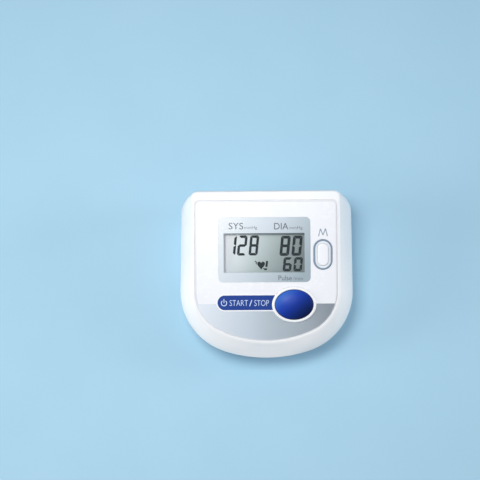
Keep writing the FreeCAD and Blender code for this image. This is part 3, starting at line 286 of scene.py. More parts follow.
def moulded(name, light, dark, gloss, grain, depth, strength=0.4, **constants):
    """A moulded plastic: a slight drift of colour, a drift of gloss and a fine mould texture."""
    finish = Finish(name, **constants)
    drift = finish.noise(38, 2)
    finish.feed("Base Color", finish.colours(drift, (0.3, dark), (0.7, light)))
    finish.feed("Roughness", finish.spread(finish.noise(7, 4), gloss - 0.04, gloss + 0.04))
    finish.relief(finish.noise(grain, 2, 0.6), depth, strength)
    return finish.material


def settle(piece, finish, body, slot_name, *nodes, angle=32, weigh=True):
    """Finishes a made piece: its material, its smooth shading, the body that it rides on, and
    the solids that it stands for."""
    alone(piece)
    piece.data.materials.clear()
    piece.data.materials.append(finish)
    bpy.ops.object.shade_smooth_by_angle(angle=math.radians(angle))
    if weigh:
        change = piece.modifiers.new("weigh", "WEIGHTED_NORMAL")
        change.keep_sharp = True
        bpy.ops.object.modifier_apply(modifier=change.name)
    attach(piece, body)
    if nodes:
        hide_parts(*nodes)
    return piece


def dress(finish, *nodes):
    """Gives solids that keep their own shape a finish."""
    for node in nodes:
        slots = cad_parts[node].data.materials
        slots.clear()
        slots.append(finish)


RIM_Z, BASE_Z, FLOOR_Z = 20.7, 1.2, 3.4


def tray_ring(part, thick=0, bottom=BASE_Z):
    """A ring of the tray's wall, at a share of the way from its rim down to its bottom."""
    return level(curve_through((0, 2.5, 6.5), part) + thick, curve_through((RIM_Z, 9.5, bottom), part))


steps = [step / 10 for step in range(11)]
lower_case = skin("lower_case_shell", [tray_ring(part) for part in reversed(steps)]
                  + [tray_ring(part, WALL, FLOOR_Z) for part in steps])
round_edges(lower_case, 1.0, lying_on(tray_ring(1)), 4)
round_edges(lower_case, 0.3, lying_on(tray_ring(0)), 2)

BAY_HALF, BAY_FRONT, BAY_REAR, BAY_WALL = 30.05, -6, 48.65, 1.4
carve(lower_case, block("bay_walls", (-BAY_HALF - BAY_WALL, BAY_FRONT - BAY_WALL, 1.3),
                        (BAY_HALF + BAY_WALL, BAY_REAR + BAY_WALL, 19.6)), "UNION")
SCREW_PLACES, HEAD_Z = ((45.5, 34), (-45.5, 34), (26, -43), (-26, -43)), 14
for x, y in SCREW_PLACES:
    carve(lower_case, bar("screw_post", 4.2, (x, y, 1.3), (x, y, HEAD_Z + 3)), "UNION")
FOOT_PLACES, SEAT_Z = ((45, 46), (-45, 46), (41, -22), (-41, -22)), 2.1
SOCKET_Y, JACK_X, PORT_Z = -11, 40, 12
wells = [bar("well", 2.7, (x, y, -1), (x, y, HEAD_Z)) for x, y in SCREW_PLACES]
seats = [bar("seat", 5.1, (x, y, -1), (x, y, SEAT_Z)) for x, y in FOOT_PLACES]
bay = block("bay", (-BAY_HALF, BAY_FRONT, -1), (BAY_HALF, BAY_REAR, 18.2))
port_holes = [bar("hole", 5.1, (-70, SOCKET_Y, PORT_Z), (-50, SOCKET_Y, PORT_Z)),
              bar("hole", 4.3, (JACK_X, 70, PORT_Z), (JACK_X, 50, PORT_Z))]
carve(lower_case, joined("hollows", *wells, *seats, bay, *port_holes))

SCOOP_RADIUS, SCOOP_DEPTH = 12, 1.2
bpy.ops.mesh.primitive_uv_sphere_add(segments=48, ring_count=24, radius=SCOOP_RADIUS * MM)
scoop = named("scoop")
scoop_centre = Vector((0, BAY_FRONT - 1.2, BASE_Z + SCOOP_DEPTH - SCOOP_RADIUS))
scoop.data.transform(Matrix.Translation(scoop_centre * MM))
carve(lower_case, scoop)

case_white = moulded("case_abs", (249, 250, 252), (243, 245, 249), 0.36, 0.35, 0.012, 0.25)
base_white = moulded("base_abs", (240, 243, 247), (232, 236, 242), 0.46, 0.3, 0.02, 0.5)
settle(lower_case, base_white, "housing", "base_white", "lower_case")

# ------------------------------------------------------------------ feet and case screws
# Four grey rubber feet pressed into round seats of the base, and four pan-head steel screws
# in wells that draw the two halves of the housing together.

foot_rubber = moulded("foot_rubber_grey", (96, 100, 106), (82, 86, 92), 0.78, 0.25, 0.02, 0.6)
feet = [bar("foot", 5.0, (x, y, 0), (x, y, SEAT_Z), 64) for x, y in FOOT_PLACES]
rubber_feet = soften(joined("rubber_feet_pads", *feet), 0.5, 3)
settle(rubber_feet, foot_rubber, "housing", "foot_rubber", "rubber_feet")

screw_steel = Finish("screw_steel_zinc", Metallic=1.0)
screw_steel.cloudy(1.2, (176, 180, 186), (206, 209, 213), 0.6, 0.24, 0.42)
screw_steel.relief(screw_steel.noise(0.3), 0.01)
screws = []
for x, y in SCREW_PLACES:
    head = soften(bar("screw", 2.6, (x, y, HEAD_Z - 2), (x, y, HEAD_Z), 40), 0.5, 3)
    for along, aside in ((1.9, 0.4), (0.4, 1.9)):
        carve(head, block("slot", (x - along, y - aside, HEAD_Z - 3), (x + along, y + aside, HEAD_Z - 1.1)))
    screws += [head, bar("shank", 1.45, (x, y, HEAD_Z - 0.1), (x, y, HEAD_Z + 11), 24)]
case_screws = joined("case_screws_zinc", *screws)
settle(case_screws, screw_steel.material, "housing", "screw_steel", "case_screws")

# ------------------------------------------------------------------ air socket and power jack
# The cuff's air hose pushes into a grey nylon socket in the left wall. The mains adaptor goes
# into a moulded jack in the rear wall, with a plated centre pin.


def tube_rings(centre, across, up, sizes, sides=64):
    """Rings round an axis: each size is a radius and a distance along the axis, in millimetres."""
    centre, across, up = Vector(centre), Vector(across), Vector(up)
    way = across.cross(up)
    rings = []
    for radius, along in sizes:
        rings.append([(centre + way * along + (across * math.cos(turn) + up * math.sin(turn)) * radius) * MM
                      for turn in (2 * math.pi * step / sides for step in range(sides))])
    return rings


socket_grey = moulded("socket_nylon_grey", (172, 178, 186), (158, 164, 173), 0.42, 0.4, 0.015)
air_socket = skin("air_socket_nylon", tube_rings((-60.4, SOCKET_Y, PORT_Z), (0, 1, 0), (0, 0, 1), [
    (2.3, 10), (2.3, 0.5), (2.45, 0.2), (2.8, 0), (4.4, 0), (4.8, 0.15), (5, 0.5), (5, 6.1), (6.4, 6.1),
    (6.4, 7.5), (5, 7.5), (5, 12), (1.4, 12), (1.4, 14.4), (0.8, 14.4), (0.8, 10), (2.3, 10)]), caps=False)
settle(air_socket, socket_grey, "housing", "socket_grey", "air_socket")

jack = skin("dc_jack_body", tube_rings((JACK_X, 59.4, PORT_Z), (1, 0, 0), (0, 0, 1), [
    (2.8, 9), (2.8, 0.4), (3.1, 0), (3.9, 0), (4.2, 0.3), (4.2, 6.1), (4.45, 6.1), (4.45, 17), (2.8, 17)]))
switch_black = moulded("jack_black", (46, 48, 52), (34, 36, 40), 0.4, 0.4, 0.012)
settle(jack, switch_black, "housing", "switch_black", "dc_jack")
jack_plating = Finish("jack_pin_nickel", Metallic=1.0)
jack_plating.cloudy(1.5, (196, 196, 190), (222, 221, 214), 0.8, 0.16, 0.3)
jack_pin = skin("dc_jack_pin_plated", tube_rings((JACK_X, 50.4, PORT_Z), (-1, 0, 0), (0, 0, 1), [
    (0.8, 0), (0.8, 7.5), (0.65, 7.85), (0.4, 8)], 32))
settle(jack_pin, jack_plating.material, "housing", "jack_pin", "dc_jack_pin")

# ------------------------------------------------------------------ cells, contacts and door
# Four AA cells lie side by side in the bay between nickel-plated strips and coil springs. The
# door is a flat ABS lid that clips at the front and swings on two moulded pins at the rear.

cell_wrap = Finish("cell_wrap_film", Coat_Weight=0.5, Coat_Roughness=0.12)
cell_wrap.cloudy(6, (70, 86, 104), (84, 100, 118), 2, 0.28, 0.4)
cell_wrap.relief(cell_wrap.noise(1.4), 0.02, 0.3)
for index in range(4):
    x, plus_front = 14.9 * (index - 1.5), index % 2 == 0
    low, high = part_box(f"battery_{index + 1}")
    tip, sign = (low.y / MM, -1) if plus_front else (high.y / MM, 1)
    middle_z = (low.z + high.z) / 2 / MM
    cell = skin(f"cell_{index + 1}", tube_rings((x, tip, middle_z), (sign, 0, 0), (0, 0, 1), [
        (2.4, 0), (2.7, 0.3), (2.75, 1.3), (5.4, 1.3), (5.8, 1.6), (6.5, 1.5), (7.0, 1.9), (7.1, 2.4),
        (7.1, 49.6), (6.9, 50.2), (6.3, 50.45), (5.9, 50.2), (4.5, 50.2), (4.3, 50.5)]))
    settle(cell, cell_wrap.material, "housing", "cell_wrap", f"battery_{index + 1}")

dress(jack_plating.material, "battery_contacts", "battery_springs")

DOOR_HALF, DOOR_FRONT, HINGE_Y, HINGE_Z = 29.75, -5.7, 47.25, 2.3
door = block("battery_lid", (-DOOR_HALF, DOOR_FRONT, BASE_Z), (DOOR_HALF, HINGE_Y, FLOOR_Z))
carve(door, bar("knuckle", 1.1, (-DOOR_HALF, HINGE_Y, HINGE_Z), (DOOR_HALF, HINGE_Y, HINGE_Z)), "UNION")
for side in (1, -1):
    carve(door, block("latch_slot", (side * 7 - 0.5, DOOR_FRONT - 1, 0), (side * 7 + 0.5, DOOR_FRONT + 9, 5)))
for step in range(5):
    y = 6 + step * 2.4
    carve(door, bar("grip", 0.55, (-9, y, 1.05), (9, y, 1.05), 24))
soften(door, 0.25)
pins = [bar("pin", 0.7, (side * (DOOR_HALF - 0.15), HINGE_Y, HINGE_Z),
            (side * (BAY_HALF + 1), HINGE_Y, HINGE_Z), 24) for side in (1, -1)]
nose = soften(block("nose", (-6, DOOR_FRONT, 3.3), (6, DOOR_FRONT + 1.2, 4.5)), 0.3)
door = joined("battery_lid", door, *pins, nose)
settle(door, base_white, "door", "base_white", "battery_door")

# ------------------------------------------------------------------ pump, valve and air line
# A rolling-diaphragm pump in rubber cushions blows through silicone hose into a nylon
# manifold, which feeds the cuff socket, the pressure sensor and the release valve.

motor_can = Finish("motor_can_steel", Metallic=1.0)
motor_can.cloudy(5, (150, 153, 158), (182, 185, 189), 1.5, 0.28, 0.46)
motor_can.relief(motor_can.noise(0.5), 0.01)
pump_plastic = moulded("pump_nylon_black", (62, 65, 70), (48, 51, 56), 0.5, 0.4, 0.02)
cushion_rubber = moulded("cushion_rubber_dark", (52, 54, 58), (40, 42, 46), 0.82, 0.3, 0.03, 0.6)
coil_copper = Finish("coil_wound_copper", Metallic=1.0)
coil_copper.cloudy(0.7, (150, 82, 46), (198, 118, 70), 0.5, 0.25, 0.45)
windings = coil_copper.node("TexWave", {"Vector": coil_copper.place, "Scale": 1200.0, "Distortion": 0.4},
                            bands_direction="Z")
coil_copper.relief(windings.outputs["Fac"], 0.12)
hose_silicone = moulded("hose_silicone_clear", (214, 216, 214), (202, 204, 202), 0.34, 0.8, 0.03,
                        Subsurface_Weight=0.15)
dress(motor_can.material, "pump_motor", "valve_yoke")
dress(pump_plastic, "pump_head", "air_manifold")
dress(cushion_rubber, "pump_cushions")
dress(coil_copper.material, "valve_coil")
dress(hose_silicone, "pump_hose", "sensor_hose", "valve_hose", "socket_hose")

# ------------------------------------------------------------------ circuit board and leads
# A green epoxy board screwed up under the face, with its chips and capacitors underneath, the
# two key switches on top, and pairs of red leads soldered in.

board_green = Finish("board_solder_mask", Coat_Weight=0.4, Coat_Roughness=0.2)
board_green.cloudy(3, (22, 84, 54), (32, 104, 66), 1.5, 0.3, 0.45)
tracks = board_green.node("TexBrick", {"Vector": board_green.place, "Scale": 90.0, "Mortar Size": 0.03})
board_green.relief(tracks.outputs["Fac"], 0.04)
chip_black = moulded("chip_epoxy", (44, 45, 48), (34, 35, 38), 0.56, 0.2, 0.01)
capacitor_can = Finish("capacitor_aluminium", Metallic=1.0)
capacitor_can.cloudy(2, (178, 182, 188), (206, 209, 214), 0.8, 0.2, 0.34)
lead_red = moulded("lead_pvc_red", (176, 36, 34), (150, 26, 26), 0.36, 0.5, 0.02)
dress(board_green.material, "main_board")
dress(screw_steel.material, "board_screws")
dress(chip_black, "board_chips", "pressure_sensor")
dress(capacitor_can.material, "capacitors")
dress(switch_black, "buzzer", "tact_switches", "start_plunger", "memory_plunger")
dress(lead_red, "pump_leads", "valve_leads", "battery_leads", "jack_leads")

# ------------------------------------------------------------------ display
# A segment display: a glass cell on a silvered reflector, carried by a white frame with two
# rubber contact strips. The dark segments are thin bars at the face of the glass.

LEAN, FACE_REAR, FACE_TOP = math.radians(14), 52, 55.5


def on_face(u, v, w):
    """A place in metres from millimetres on the sloping face: u across, v up from the rear edge,
    so below zero on the face, and w out of the face."""
    return Vector((u, FACE_REAR + v * math.cos(LEAN) - w * math.sin(LEAN),
                   FACE_TOP + v * math.sin(LEAN) + w * math.cos(LEAN))) * MM


def sheet_of(name, points, low, high):
    """A flat piece on the face: a filled outline in u and v, raised from w = low to w = high."""
    bpy.ops.mesh.primitive_circle_add(vertices=len(points), fill_type="NGON")
    piece = named(name)
    for vertex, (u, v) in zip(piece.data.vertices, points):
        vertex.co = on_face(u, v, low)
    bpy.ops.object.mode_set(mode="EDIT")
    bpy.ops.mesh.select_all(action="SELECT")
    thick = on_face(0, 0, high) - on_face(0, 0, low)
    bpy.ops.mesh.extrude_region_move(TRANSFORM_OT_translate={"value": thick})
    bpy.ops.mesh.select_all(action="SELECT")
    bpy.ops.mesh.normals_make_consistent(inside=False)
    bpy.ops.object.mode_set(mode="OBJECT")
    return piece


def arc_points(x, y, radius, start, end, count, tall=None):
    """Points along an arc in degrees, both ends included; tall makes it part of an ellipse."""
    return [(x + radius * math.cos(math.radians(start + (end - start) * step / count)),
             y + (tall or radius) * math.sin(math.radians(start + (end - start) * step / count)))
            for step in range(count + 1)]


def rounded(left, right, low, high, radius, count=8):
    """The outline of a rectangle with rounded corners."""
    return (arc_points(right - radius, low + radius, radius, -90, 0, count)
            + arc_points(right - radius, high - radius, radius, 0, 90, count)
            + arc_points(left + radius, high - radius, radius, 90, 180, count)
            + arc_points(left + radius, low + radius, radius, 180, 270, count))


holder_white = moulded("holder_abs", (232, 234, 236), (222, 224, 228), 0.5, 0.4, 0.02)
zebra_rubber = moulded("zebra_strip_rubber", (70, 72, 76), (54, 56, 60), 0.7, 0.2, 0.02)
reflector = Finish("reflector_foil", Metallic=0.6)
reflector.cloudy(8, (176, 184, 178), (190, 198, 192), 0.3, 0.4, 0.55)
dress(holder_white, "lcd_holder")
dress(zebra_rubber, "zebra_strips")
dress(reflector.material, "lcd_reflector")

lcd = Finish("lcd_glass_grey")
# The glass is painted light at the upper left and dark at the lower right: painted shade across the display.
lcd.feed("Base Color", lcd.colours(lcd.across((1, -0.55, 0), -0.040, 0.028), (0.0, (248, 251, 254)),
                                   (0.22, (226, 236, 241)), (0.44, (189, 204, 206)), (0.59, (164, 179, 181)),
                                   (0.76, (140, 154, 157)), (1.0, (116, 128, 131))))
lcd.feed("Roughness", lcd.spread(lcd.noise(0.4), 0.42, 0.52))
lcd.relief(lcd.noise(0.25), 0.004, 0.3)
lcd_cell = soften(sheet_of("lcd_cell", rounded(-33.15, 30.85, -60.9, -25.9, 0.2, 2), -5.2, -3.0), 0.15)
settle(lcd_cell, lcd.material, "housing", "lcd_glass", "lcd_glass")


def segment(letter, width, height, stroke, gap=0.2):
    """The outline of one segment of a digit: bars with mitred ends and rounded outer corners."""
    outer, inner = 1.5, 0.45
    middle, side = height / 2, gap / 2
    if letter == "g":
        tip, shoulder = side + stroke * 0.168, side + stroke * 0.82
        return [(tip, middle), (shoulder, middle + stroke / 2), (width - shoulder, middle + stroke / 2),
                (width - tip, middle), (width - shoulder, middle - stroke / 2),
                (shoulder, middle - stroke / 2)]
    if letter in "ad":
        points = ([(x - side, y) for x, y in arc_points(width - outer, height - outer, outer, 45, 90, 4)]
                  + [(x + side, y) for x, y in arc_points(outer, height - outer, outer, 90, 135, 4)]
                  + [(x + side, y) for x, y in
                     arc_points(stroke + inner, height - stroke - inner, inner, 135, 90, 2)]
                  + [(x - side, y) for x, y in
                     arc_points(width - stroke - inner, height - stroke - inner, inner, 90, 45, 2)])
    else:
        points = ([(x, y - side) for x, y in arc_points(outer, height - outer, outer, 135, 180, 4)]
                  + [(0, middle + side + 0.05), (stroke * 0.42, middle + side + 0.05),
                     (stroke, middle + stroke * 0.5 + side)]
                  + [(x, y - side) for x, y in
                     arc_points(stroke + inner, height - stroke - inner, inner, 180, 135, 2)])
    if letter in "bc":
        points = [(width - x, y) for x, y in points]
    if letter in "cde":
        points = [(x, height - y) for x, y in points]
    return points


SEGMENTS = {"0": "abcdef", "1": "bc", "2": "abdeg", "6": "acdefg", "8": "abcdefg"}
SLANT = math.tan(math.radians(6))
CRYSTAL = (-3.01, -2.93)
segment_dark = moulded("segment_crystal", (24, 40, 46), (16, 30, 35), 0.5, 0.3, 0.004, Specular_IOR_Level=0.1)


def reading(name, digits, left, low, width, height, pitch, stroke):
    """A number set in segments, leaning a little to the right."""
    bars = []
    for place, digit in enumerate(digits):
        start = left + place * pitch + (0.7 if digit == "1" else 0)
        for letter in SEGMENTS[digit]:
            points = [(start + x + y * SLANT, low + y) for x, y in segment(letter, width, height, stroke)]
            bars.append(sheet_of("bar", points, *CRYSTAL))
    return settle(joined(name, *bars), segment_dark, "housing", "lcd_glass", weigh=False)


reading("reading_systolic", "128", -29.0, -45.3, 6.4, 14.2, 8.25, 1.75)
reading("reading_diastolic", "80", 9.4, -45.7, 6.8, 14.2, 8.5, 2.0)
reading("reading_pulse", "60", 11.6, -56.7, 6.1, 10.0, 7.5, 1.8)

heart = [(-3.5 + 2.7 * (16 * math.sin(t) ** 3) / 16,
          -52.1 + 3.3 * (13 * math.cos(t) - 5 * math.cos(2 * t) - 2 * math.cos(3 * t) - math.cos(4 * t)) / 16)
         for t in (2 * math.pi * step / 40 for step in range(40))]
marks = [sheet_of("mark", heart, *CRYSTAL)]
for start, end, thick in (((-7.9, -49.3), (-6.4, -50.4), 0.7), ((-7.4, -50.9), (-6.4, -51.5), 0.6),
                          ((-1.9, -54.3), (-0.6, -55.6), 0.7), ((0.2, -53.5), (0.7, -49.3), 1.5),
                          ((-0.2, -55.7), (-0.1, -54.5), 1.5)):
    start, end = Vector(start), Vector(end)
    way = (end - start).normalized()
    side = Vector((-way.y, way.x)) * thick / 2
    marks.append(sheet_of("mark", [(start.x + side.x, start.y + side.y), (start.x - side.x, start.y - side.y),
                                   (end.x - side.x, end.y - side.y), (end.x + side.x, end.y + side.y)],
                          *CRYSTAL))
settle(joined("pulse_mark", *marks), segment_dark, "housing", "lcd_glass", weigh=False)

# ------------------------------------------------------------------ upper case
# The flared cover, moulded in glossy white ABS. Its sloping face is recessed for the panel and
# pierced for the display and the two keys, and a lip inside locates the lower case.


def sloping(inset, rear_inset, nose_inset, corner, tilt, rear_z, extra, sunk):
    """The outline in a plane that slopes down to the user, drawn in by extra and sunk; the
    further it is drawn in, the more it has the face's squarer front."""
    rear_y, turn = HALF_DEPTH - rear_inset, math.radians(tilt)
    lean = math.cos(turn)
    straight_end, radius = 0.48 * inset - STRAIGHT_END, SIDE_RADIUS - 1.57 * inset
    flat = outline(HALF_WIDTH - inset - extra, -extra, -(rear_y + straight_end) / lean,
                   (nose_inset - rear_y - HALF_DEPTH) / lean + extra, radius / lean - extra, corner - extra)
    return [Vector((x, rear_y + v * lean, rear_z - sunk + v * math.sin(turn))) * MM for x, v in flat]


SEAM_Z, FACE_INSET, FACE_CORNER = 21, 10, 3.2


def flared(extra, parts):
    """Rings of the flared wall, through its widest, shoulder and face outlines."""
    sunk = 2 * extra / WALL
    widest = level(extra, SEAM_Z)
    shoulder = sloping(4, 4, 5, 11.5, 7.8, 41, extra, sunk)
    face = sloping(FACE_INSET, 9, 9, FACE_CORNER, 14, FACE_TOP, extra, sunk)
    return [[curve_through(places, part, 0.54) for places in zip(widest, shoulder, face)] for part in parts]


PANEL_BORDER, PANEL_THICK, CLEARANCE = 1.7, 0.9, 0.3
START_U, START_V, START_WIDE, START_TALL = 19.7, -80.2, 13.4, 10.4
MEMORY_U, MEMORY_V, MEMORY_REACH, MEMORY_RADIUS = 40.2, -44.9, 4.1, 4.2


def panel_edge(grow, w):
    """The panel's outline on the face, grown by a little, at a depth w."""
    inset, lean = PANEL_BORDER - grow, math.cos(LEAN)
    flat = outline(HALF_WIDTH - FACE_INSET - inset, grow - 6.5, -68.8 / lean, -104 / lean + inset,
                   30.8 / lean - inset, FACE_CORNER + grow)
    return [on_face(u, v, w) for u, v in flat]


def oval(wide, tall):
    """An oval round the start key's centre."""
    return arc_points(START_U, START_V, wide, 0, 360, 96, tall)[:-1]


def ellipse(grow):
    """The start key's outline, grown by a little."""
    return oval(START_WIDE + grow, START_TALL + grow)


def slot(grow):
    """The memory key's outline, an upright slot, grown by a little."""
    radius = MEMORY_RADIUS + grow
    return (arc_points(MEMORY_U, MEMORY_V + MEMORY_REACH, radius, 0, 180, 16)
            + arc_points(MEMORY_U, MEMORY_V - MEMORY_REACH, radius, 180, 360, 16))


def pane(grow):
    """The display window's outline, grown by a little."""
    return rounded(-33.65 - grow, 31.35 + grow, -64.15 - grow, -18.45 + grow, 3.2 + grow)


def cutter(points, deep):
    """A tool that cuts an outline out of the face, from a little above it down to a depth."""
    return sheet_of("cutter", points, -deep, 3)


rise = [step / 14 for step in range(15)]
LIP_TOP, LIP_FOOT = 22.4, 19.6
upper_case = skin("upper_case_cover", [panel_edge(CLEARANCE, -PANEL_THICK), panel_edge(CLEARANCE, 0)]
                  + flared(0, rise[::-1])
                  + [level(2.3, SEAM_Z), level(2.3, LIP_FOOT), level(3.3, LIP_FOOT), level(3.3, LIP_TOP)]
                  + flared(WALL, rise[2:]))
round_edges(upper_case, 1.1, lying_on(flared(0, [1])[0]), 5)
round_edges(upper_case, 0.3, lying_on(level(0, SEAM_Z)), 2)
round_edges(upper_case, 0.25, lying_on(panel_edge(CLEARANCE, 0)), 3)
display_opening = rounded(-31.45, 29.15, -61.95, -20.65, 1)
for points, deep in ((pane(0.15), 1.3), (display_opening, 8), (ellipse(CLEARANCE), 8), (slot(2.6), 1.5),
                     (slot(CLEARANCE), 8)):
    carve(upper_case, cutter(points, deep))
settle(upper_case, case_white, "housing", "case_white", "upper_case")

# ------------------------------------------------------------------ face panel
# A thin white plastic panel glued into the face, with a silver field printed at the front and a pale grey
# band of painted shade round its edge where it meets the case. A blue strip with a white edge runs along it
# into the start key's ring.

panel_white = moulded("panel_gloss_white", (247, 249, 254), (242, 244, 250), 0.26, 0.8, 0.006, 0.2)
panel = skin("face_panel_printed", [panel_edge(-0.15, -PANEL_THICK), panel_edge(-0.15, -0.1)])
for points in (pane(0.15), ellipse(2.4), slot(2.6)):
    carve(panel, cutter(points, 3))
soften(panel, 0.15)
settle(panel, panel_white, "housing", "panel_silver", "face_panel")

# A pale grey band just inside the panel's edge: painted shade of the seam between the panel and the case.
seam_shade_paint = moulded("panel_seam_painted_shade", (224, 226, 231), (219, 221, 227), 0.34, 0.4, 0.004)
seam_shade_band = skin("panel_seam_shade_band", [panel_edge(-0.2, -0.12), panel_edge(-0.2, -0.08)])
carve(seam_shade_band, skin("inner_part", [panel_edge(-0.95, -2), panel_edge(-0.95, 2)]))
settle(seam_shade_band, seam_shade_paint, "housing", "panel_silver", weigh=False)

silver = Finish("panel_silver_ink_painted_shade", Metallic=0.2)
grain = silver.noise(0.22, 2)
# The silver print is painted light at the left and dark at the right: painted shade over the print, with its
# fine speck multiplied in.
silver_painted_shade = silver.colours(silver.across((1, 0.15, 0), -0.05, 0.04),
                             (0.0, (222, 230, 240)), (0.38, (196, 208, 220)), (0.5, (184, 197, 207)),
                             (0.85, (161, 171, 181)), (1.0, (143, 152, 162)))
speck = silver.colours(grain, (0.3, (232, 234, 237)), (0.7, (255, 255, 255)))
silver.feed("Base Color", silver.node("MixRGB", {"Color1": silver_painted_shade, "Color2": speck, "Fac": 0.5},
                                      blend_type="MULTIPLY").outputs["Color"])
silver.feed("Roughness", silver.spread(silver.noise(0.5), 0.34, 0.46))
silver.relief(grain, 0.01, 0.3)
FIELD_REAR, BEYOND = -79.5, 70
field = skin("silver_field", [panel_edge(-0.45, -0.12), panel_edge(-0.45, -0.06)])
carve(field, cutter([(-BEYOND, FIELD_REAR), (BEYOND, FIELD_REAR), (BEYOND, 10), (-BEYOND, 10)], 4))
carve(field, cutter(ellipse(1.3), 4))
settle(field, silver.material, "housing", "panel_silver", weigh=False)


STRIP_V, STRIP_HALF = -78.7, 5.2


def strip(grow):
    """The blue strip's outline, grown by a little: a half-round left end, and a right end that
    runs in under the ring."""
    half = STRIP_HALF + grow
    return arc_points(-29.3, STRIP_V, half, 90, 270, 24) + [(14, STRIP_V - half), (14, STRIP_V + half)]


ring_white = moulded("ring_gloss_white", (250, 251, 253), (246, 248, 251), 0.28, 0.5, 0.008, 0.2)
strip_blue = moulded("strip_blue_ink", (32, 70, 154), (26, 62, 144), 0.34, 0.4, 0.006, 0.3,
                     Specular_IOR_Level=0.2)
strip_edge = carve(sheet_of("strip_edge", strip(0.9), -0.12, 0.1), cutter(ellipse(1.3), 4))
soften(strip_edge, 0.08)
settle(strip_edge, ring_white, "housing", "ring_white")
strip_face = carve(sheet_of("strip_face", strip(0), -0.1, 0.14), cutter(ellipse(1.3), 4))
settle(strip_face, strip_blue, "housing", "button_blue", weigh=False)


def lettering(name, words, left, right, low, high, w, finish, slot_name, weight=0.0, thick=0.04):
    """Words set flat on the face in a box of u and v, raised a little from w."""
    bpy.ops.object.text_add()
    text = bpy.context.object.data
    text.body, text.offset, text.extrude, text.resolution_u = words, weight, 0.01, 4
    bpy.ops.object.convert(target="MESH")
    piece = named(name)
    xs, ys = [v.co.x for v in piece.data.vertices], [v.co.y for v in piece.data.vertices]
    for vertex in piece.data.vertices:
        u = left + (vertex.co.x - min(xs)) / (max(xs) - min(xs)) * (right - left)
        v = low + (vertex.co.y - min(ys)) / (max(ys) - min(ys)) * (high - low)
        vertex.co = on_face(u, v, w + (thick if vertex.co.z > 0 else 0))
    alone(piece)
    bpy.ops.object.mode_set(mode="EDIT")
    bpy.ops.mesh.select_all(action="SELECT")
    bpy.ops.mesh.remove_doubles(threshold=1e-7)
    bpy.ops.mesh.normals_make_consistent(inside=False)
    bpy.ops.object.mode_set(mode="OBJECT")
    return settle(piece, finish, "housing", slot_name, weigh=False)


label_white = moulded("label_white_ink", (214, 229, 253), (200, 218, 248), 0.4, 0.3, 0.004)
PRINT = (0.13, 0.17)
lettering("label_start", "START", -25.9, -12.9, -80.9, -76.8, PRINT[0], label_white, "button_blue", -0.008)
lettering("label_stop", "STOP", -8.5, 1.9, -81.0, -76.9, PRINT[0], label_white, "button_blue", -0.008)
settle(sheet_of("label_slash", [(-12.1, -81.2), (-11.5, -81.2), (-9.9, -76.7), (-10.5, -76.7)], *PRINT),
       label_white, "housing", "button_blue", weigh=False)
POWER_U, POWER_V = -29.9, -78.9
power = arc_points(POWER_U, POWER_V, 2.2, 125, 415, 32) + arc_points(POWER_U, POWER_V, 1.65, 415, 125, 32)
tick = [(POWER_U - 0.27, POWER_V), (POWER_U + 0.27, POWER_V),
        (POWER_U + 0.27, POWER_V + 3), (POWER_U - 0.27, POWER_V + 3)]
power_mark = joined("power_mark", sheet_of("ring", power, *PRINT), sheet_of("tick", tick, *PRINT))
settle(power_mark, label_white, "housing", "button_blue", weigh=False)

# ------------------------------------------------------------------ display window
# A clear acrylic pane set flush in the panel. A silver mask, printed close under its face,
# frames the display and carries the names of the readings in grey.

window_clear = Finish("window_acrylic", Alpha=0.04, Roughness=0.06, IOR=1.49)
haze = window_clear.noise(20)
window_clear.feed("Base Color", window_clear.colours(haze, (0.3, (150, 156, 160)), (0.7, (168, 173, 177))))
window_clear.relief(window_clear.noise(14, 1), 0.02, 0.1)
window = soften(sheet_of("window_pane", pane(0.12), -1.2, -0.1), 0.08)
settle(window, window_clear.material, "housing", "window_clear", "display_window")

mask_silver = Finish("window_mask_ink_painted_shade", Metallic=0.1)
# The silver mask is painted light at the upper left and dark at the lower right: painted shade over the
# printed silver.
mask_painted_shade = mask_silver.colours(mask_silver.across((1, -0.6, 0), -0.053, 0.030),
                                (0.0, (230, 235, 240)), (0.25, (217, 226, 234)), (0.5, (204, 215, 226)),
                                (0.7, (187, 200, 210)), (1.0, (158, 176, 186)))
mask_silver.feed("Base Color", mask_painted_shade)
mask_silver.feed("Roughness", mask_silver.spread(mask_silver.noise(0.5), 0.36, 0.48))
mask_silver.relief(mask_silver.noise(0.3), 0.006)
MASK = (-0.34, -0.28)
OPEN_LEFT, OPEN_RIGHT, OPEN_LOW, OPEN_HIGH, SHADOW_BAND = -30, 27.3, -57.4, -29.5, 0.8
mask = sheet_of("window_mask", pane(0.11), *MASK)
carve(mask, cutter(rounded(OPEN_LEFT, OPEN_RIGHT, OPEN_LOW, OPEN_HIGH, 0.3, 3), 4))
settle(mask, mask_silver.material, "housing", "window_clear", weigh=False)

# Painted shadow of the mask's edge: a dark band above the opening, darker to the right, and a faint one on
# its left.
top_shadow_paint = Finish("display_top_painted_shadow")
top_shadow_tone = top_shadow_paint.colours(top_shadow_paint.across((1, 0, 0), -0.028, 0.024),
                               (0.0, (146, 155, 163)), (0.35, (106, 120, 128)), (1.0, (76, 92, 99)))
top_shadow_paint.feed("Base Color", top_shadow_tone)
top_shadow_paint.feed("Roughness", top_shadow_paint.spread(top_shadow_paint.noise(0.5), 0.45, 0.55))
side_shadow_paint = moulded("display_side_painted_shadow", (166, 168, 180), (156, 159, 172), 0.5, 0.3, 0.004)
for name, right, low, high, shadow_finish in (
        ("display_painted_shadow_top", OPEN_RIGHT, OPEN_HIGH - SHADOW_BAND, OPEN_HIGH, top_shadow_paint.material),
        ("display_painted_shadow_side", OPEN_LEFT + SHADOW_BAND, OPEN_LOW, OPEN_HIGH - SHADOW_BAND, side_shadow_paint)):
    line = sheet_of(name, [(OPEN_LEFT, low), (right, low), (right, high), (OPEN_LEFT, high)], *MASK)
    settle(line, shadow_finish, "housing", "window_clear", weigh=False)

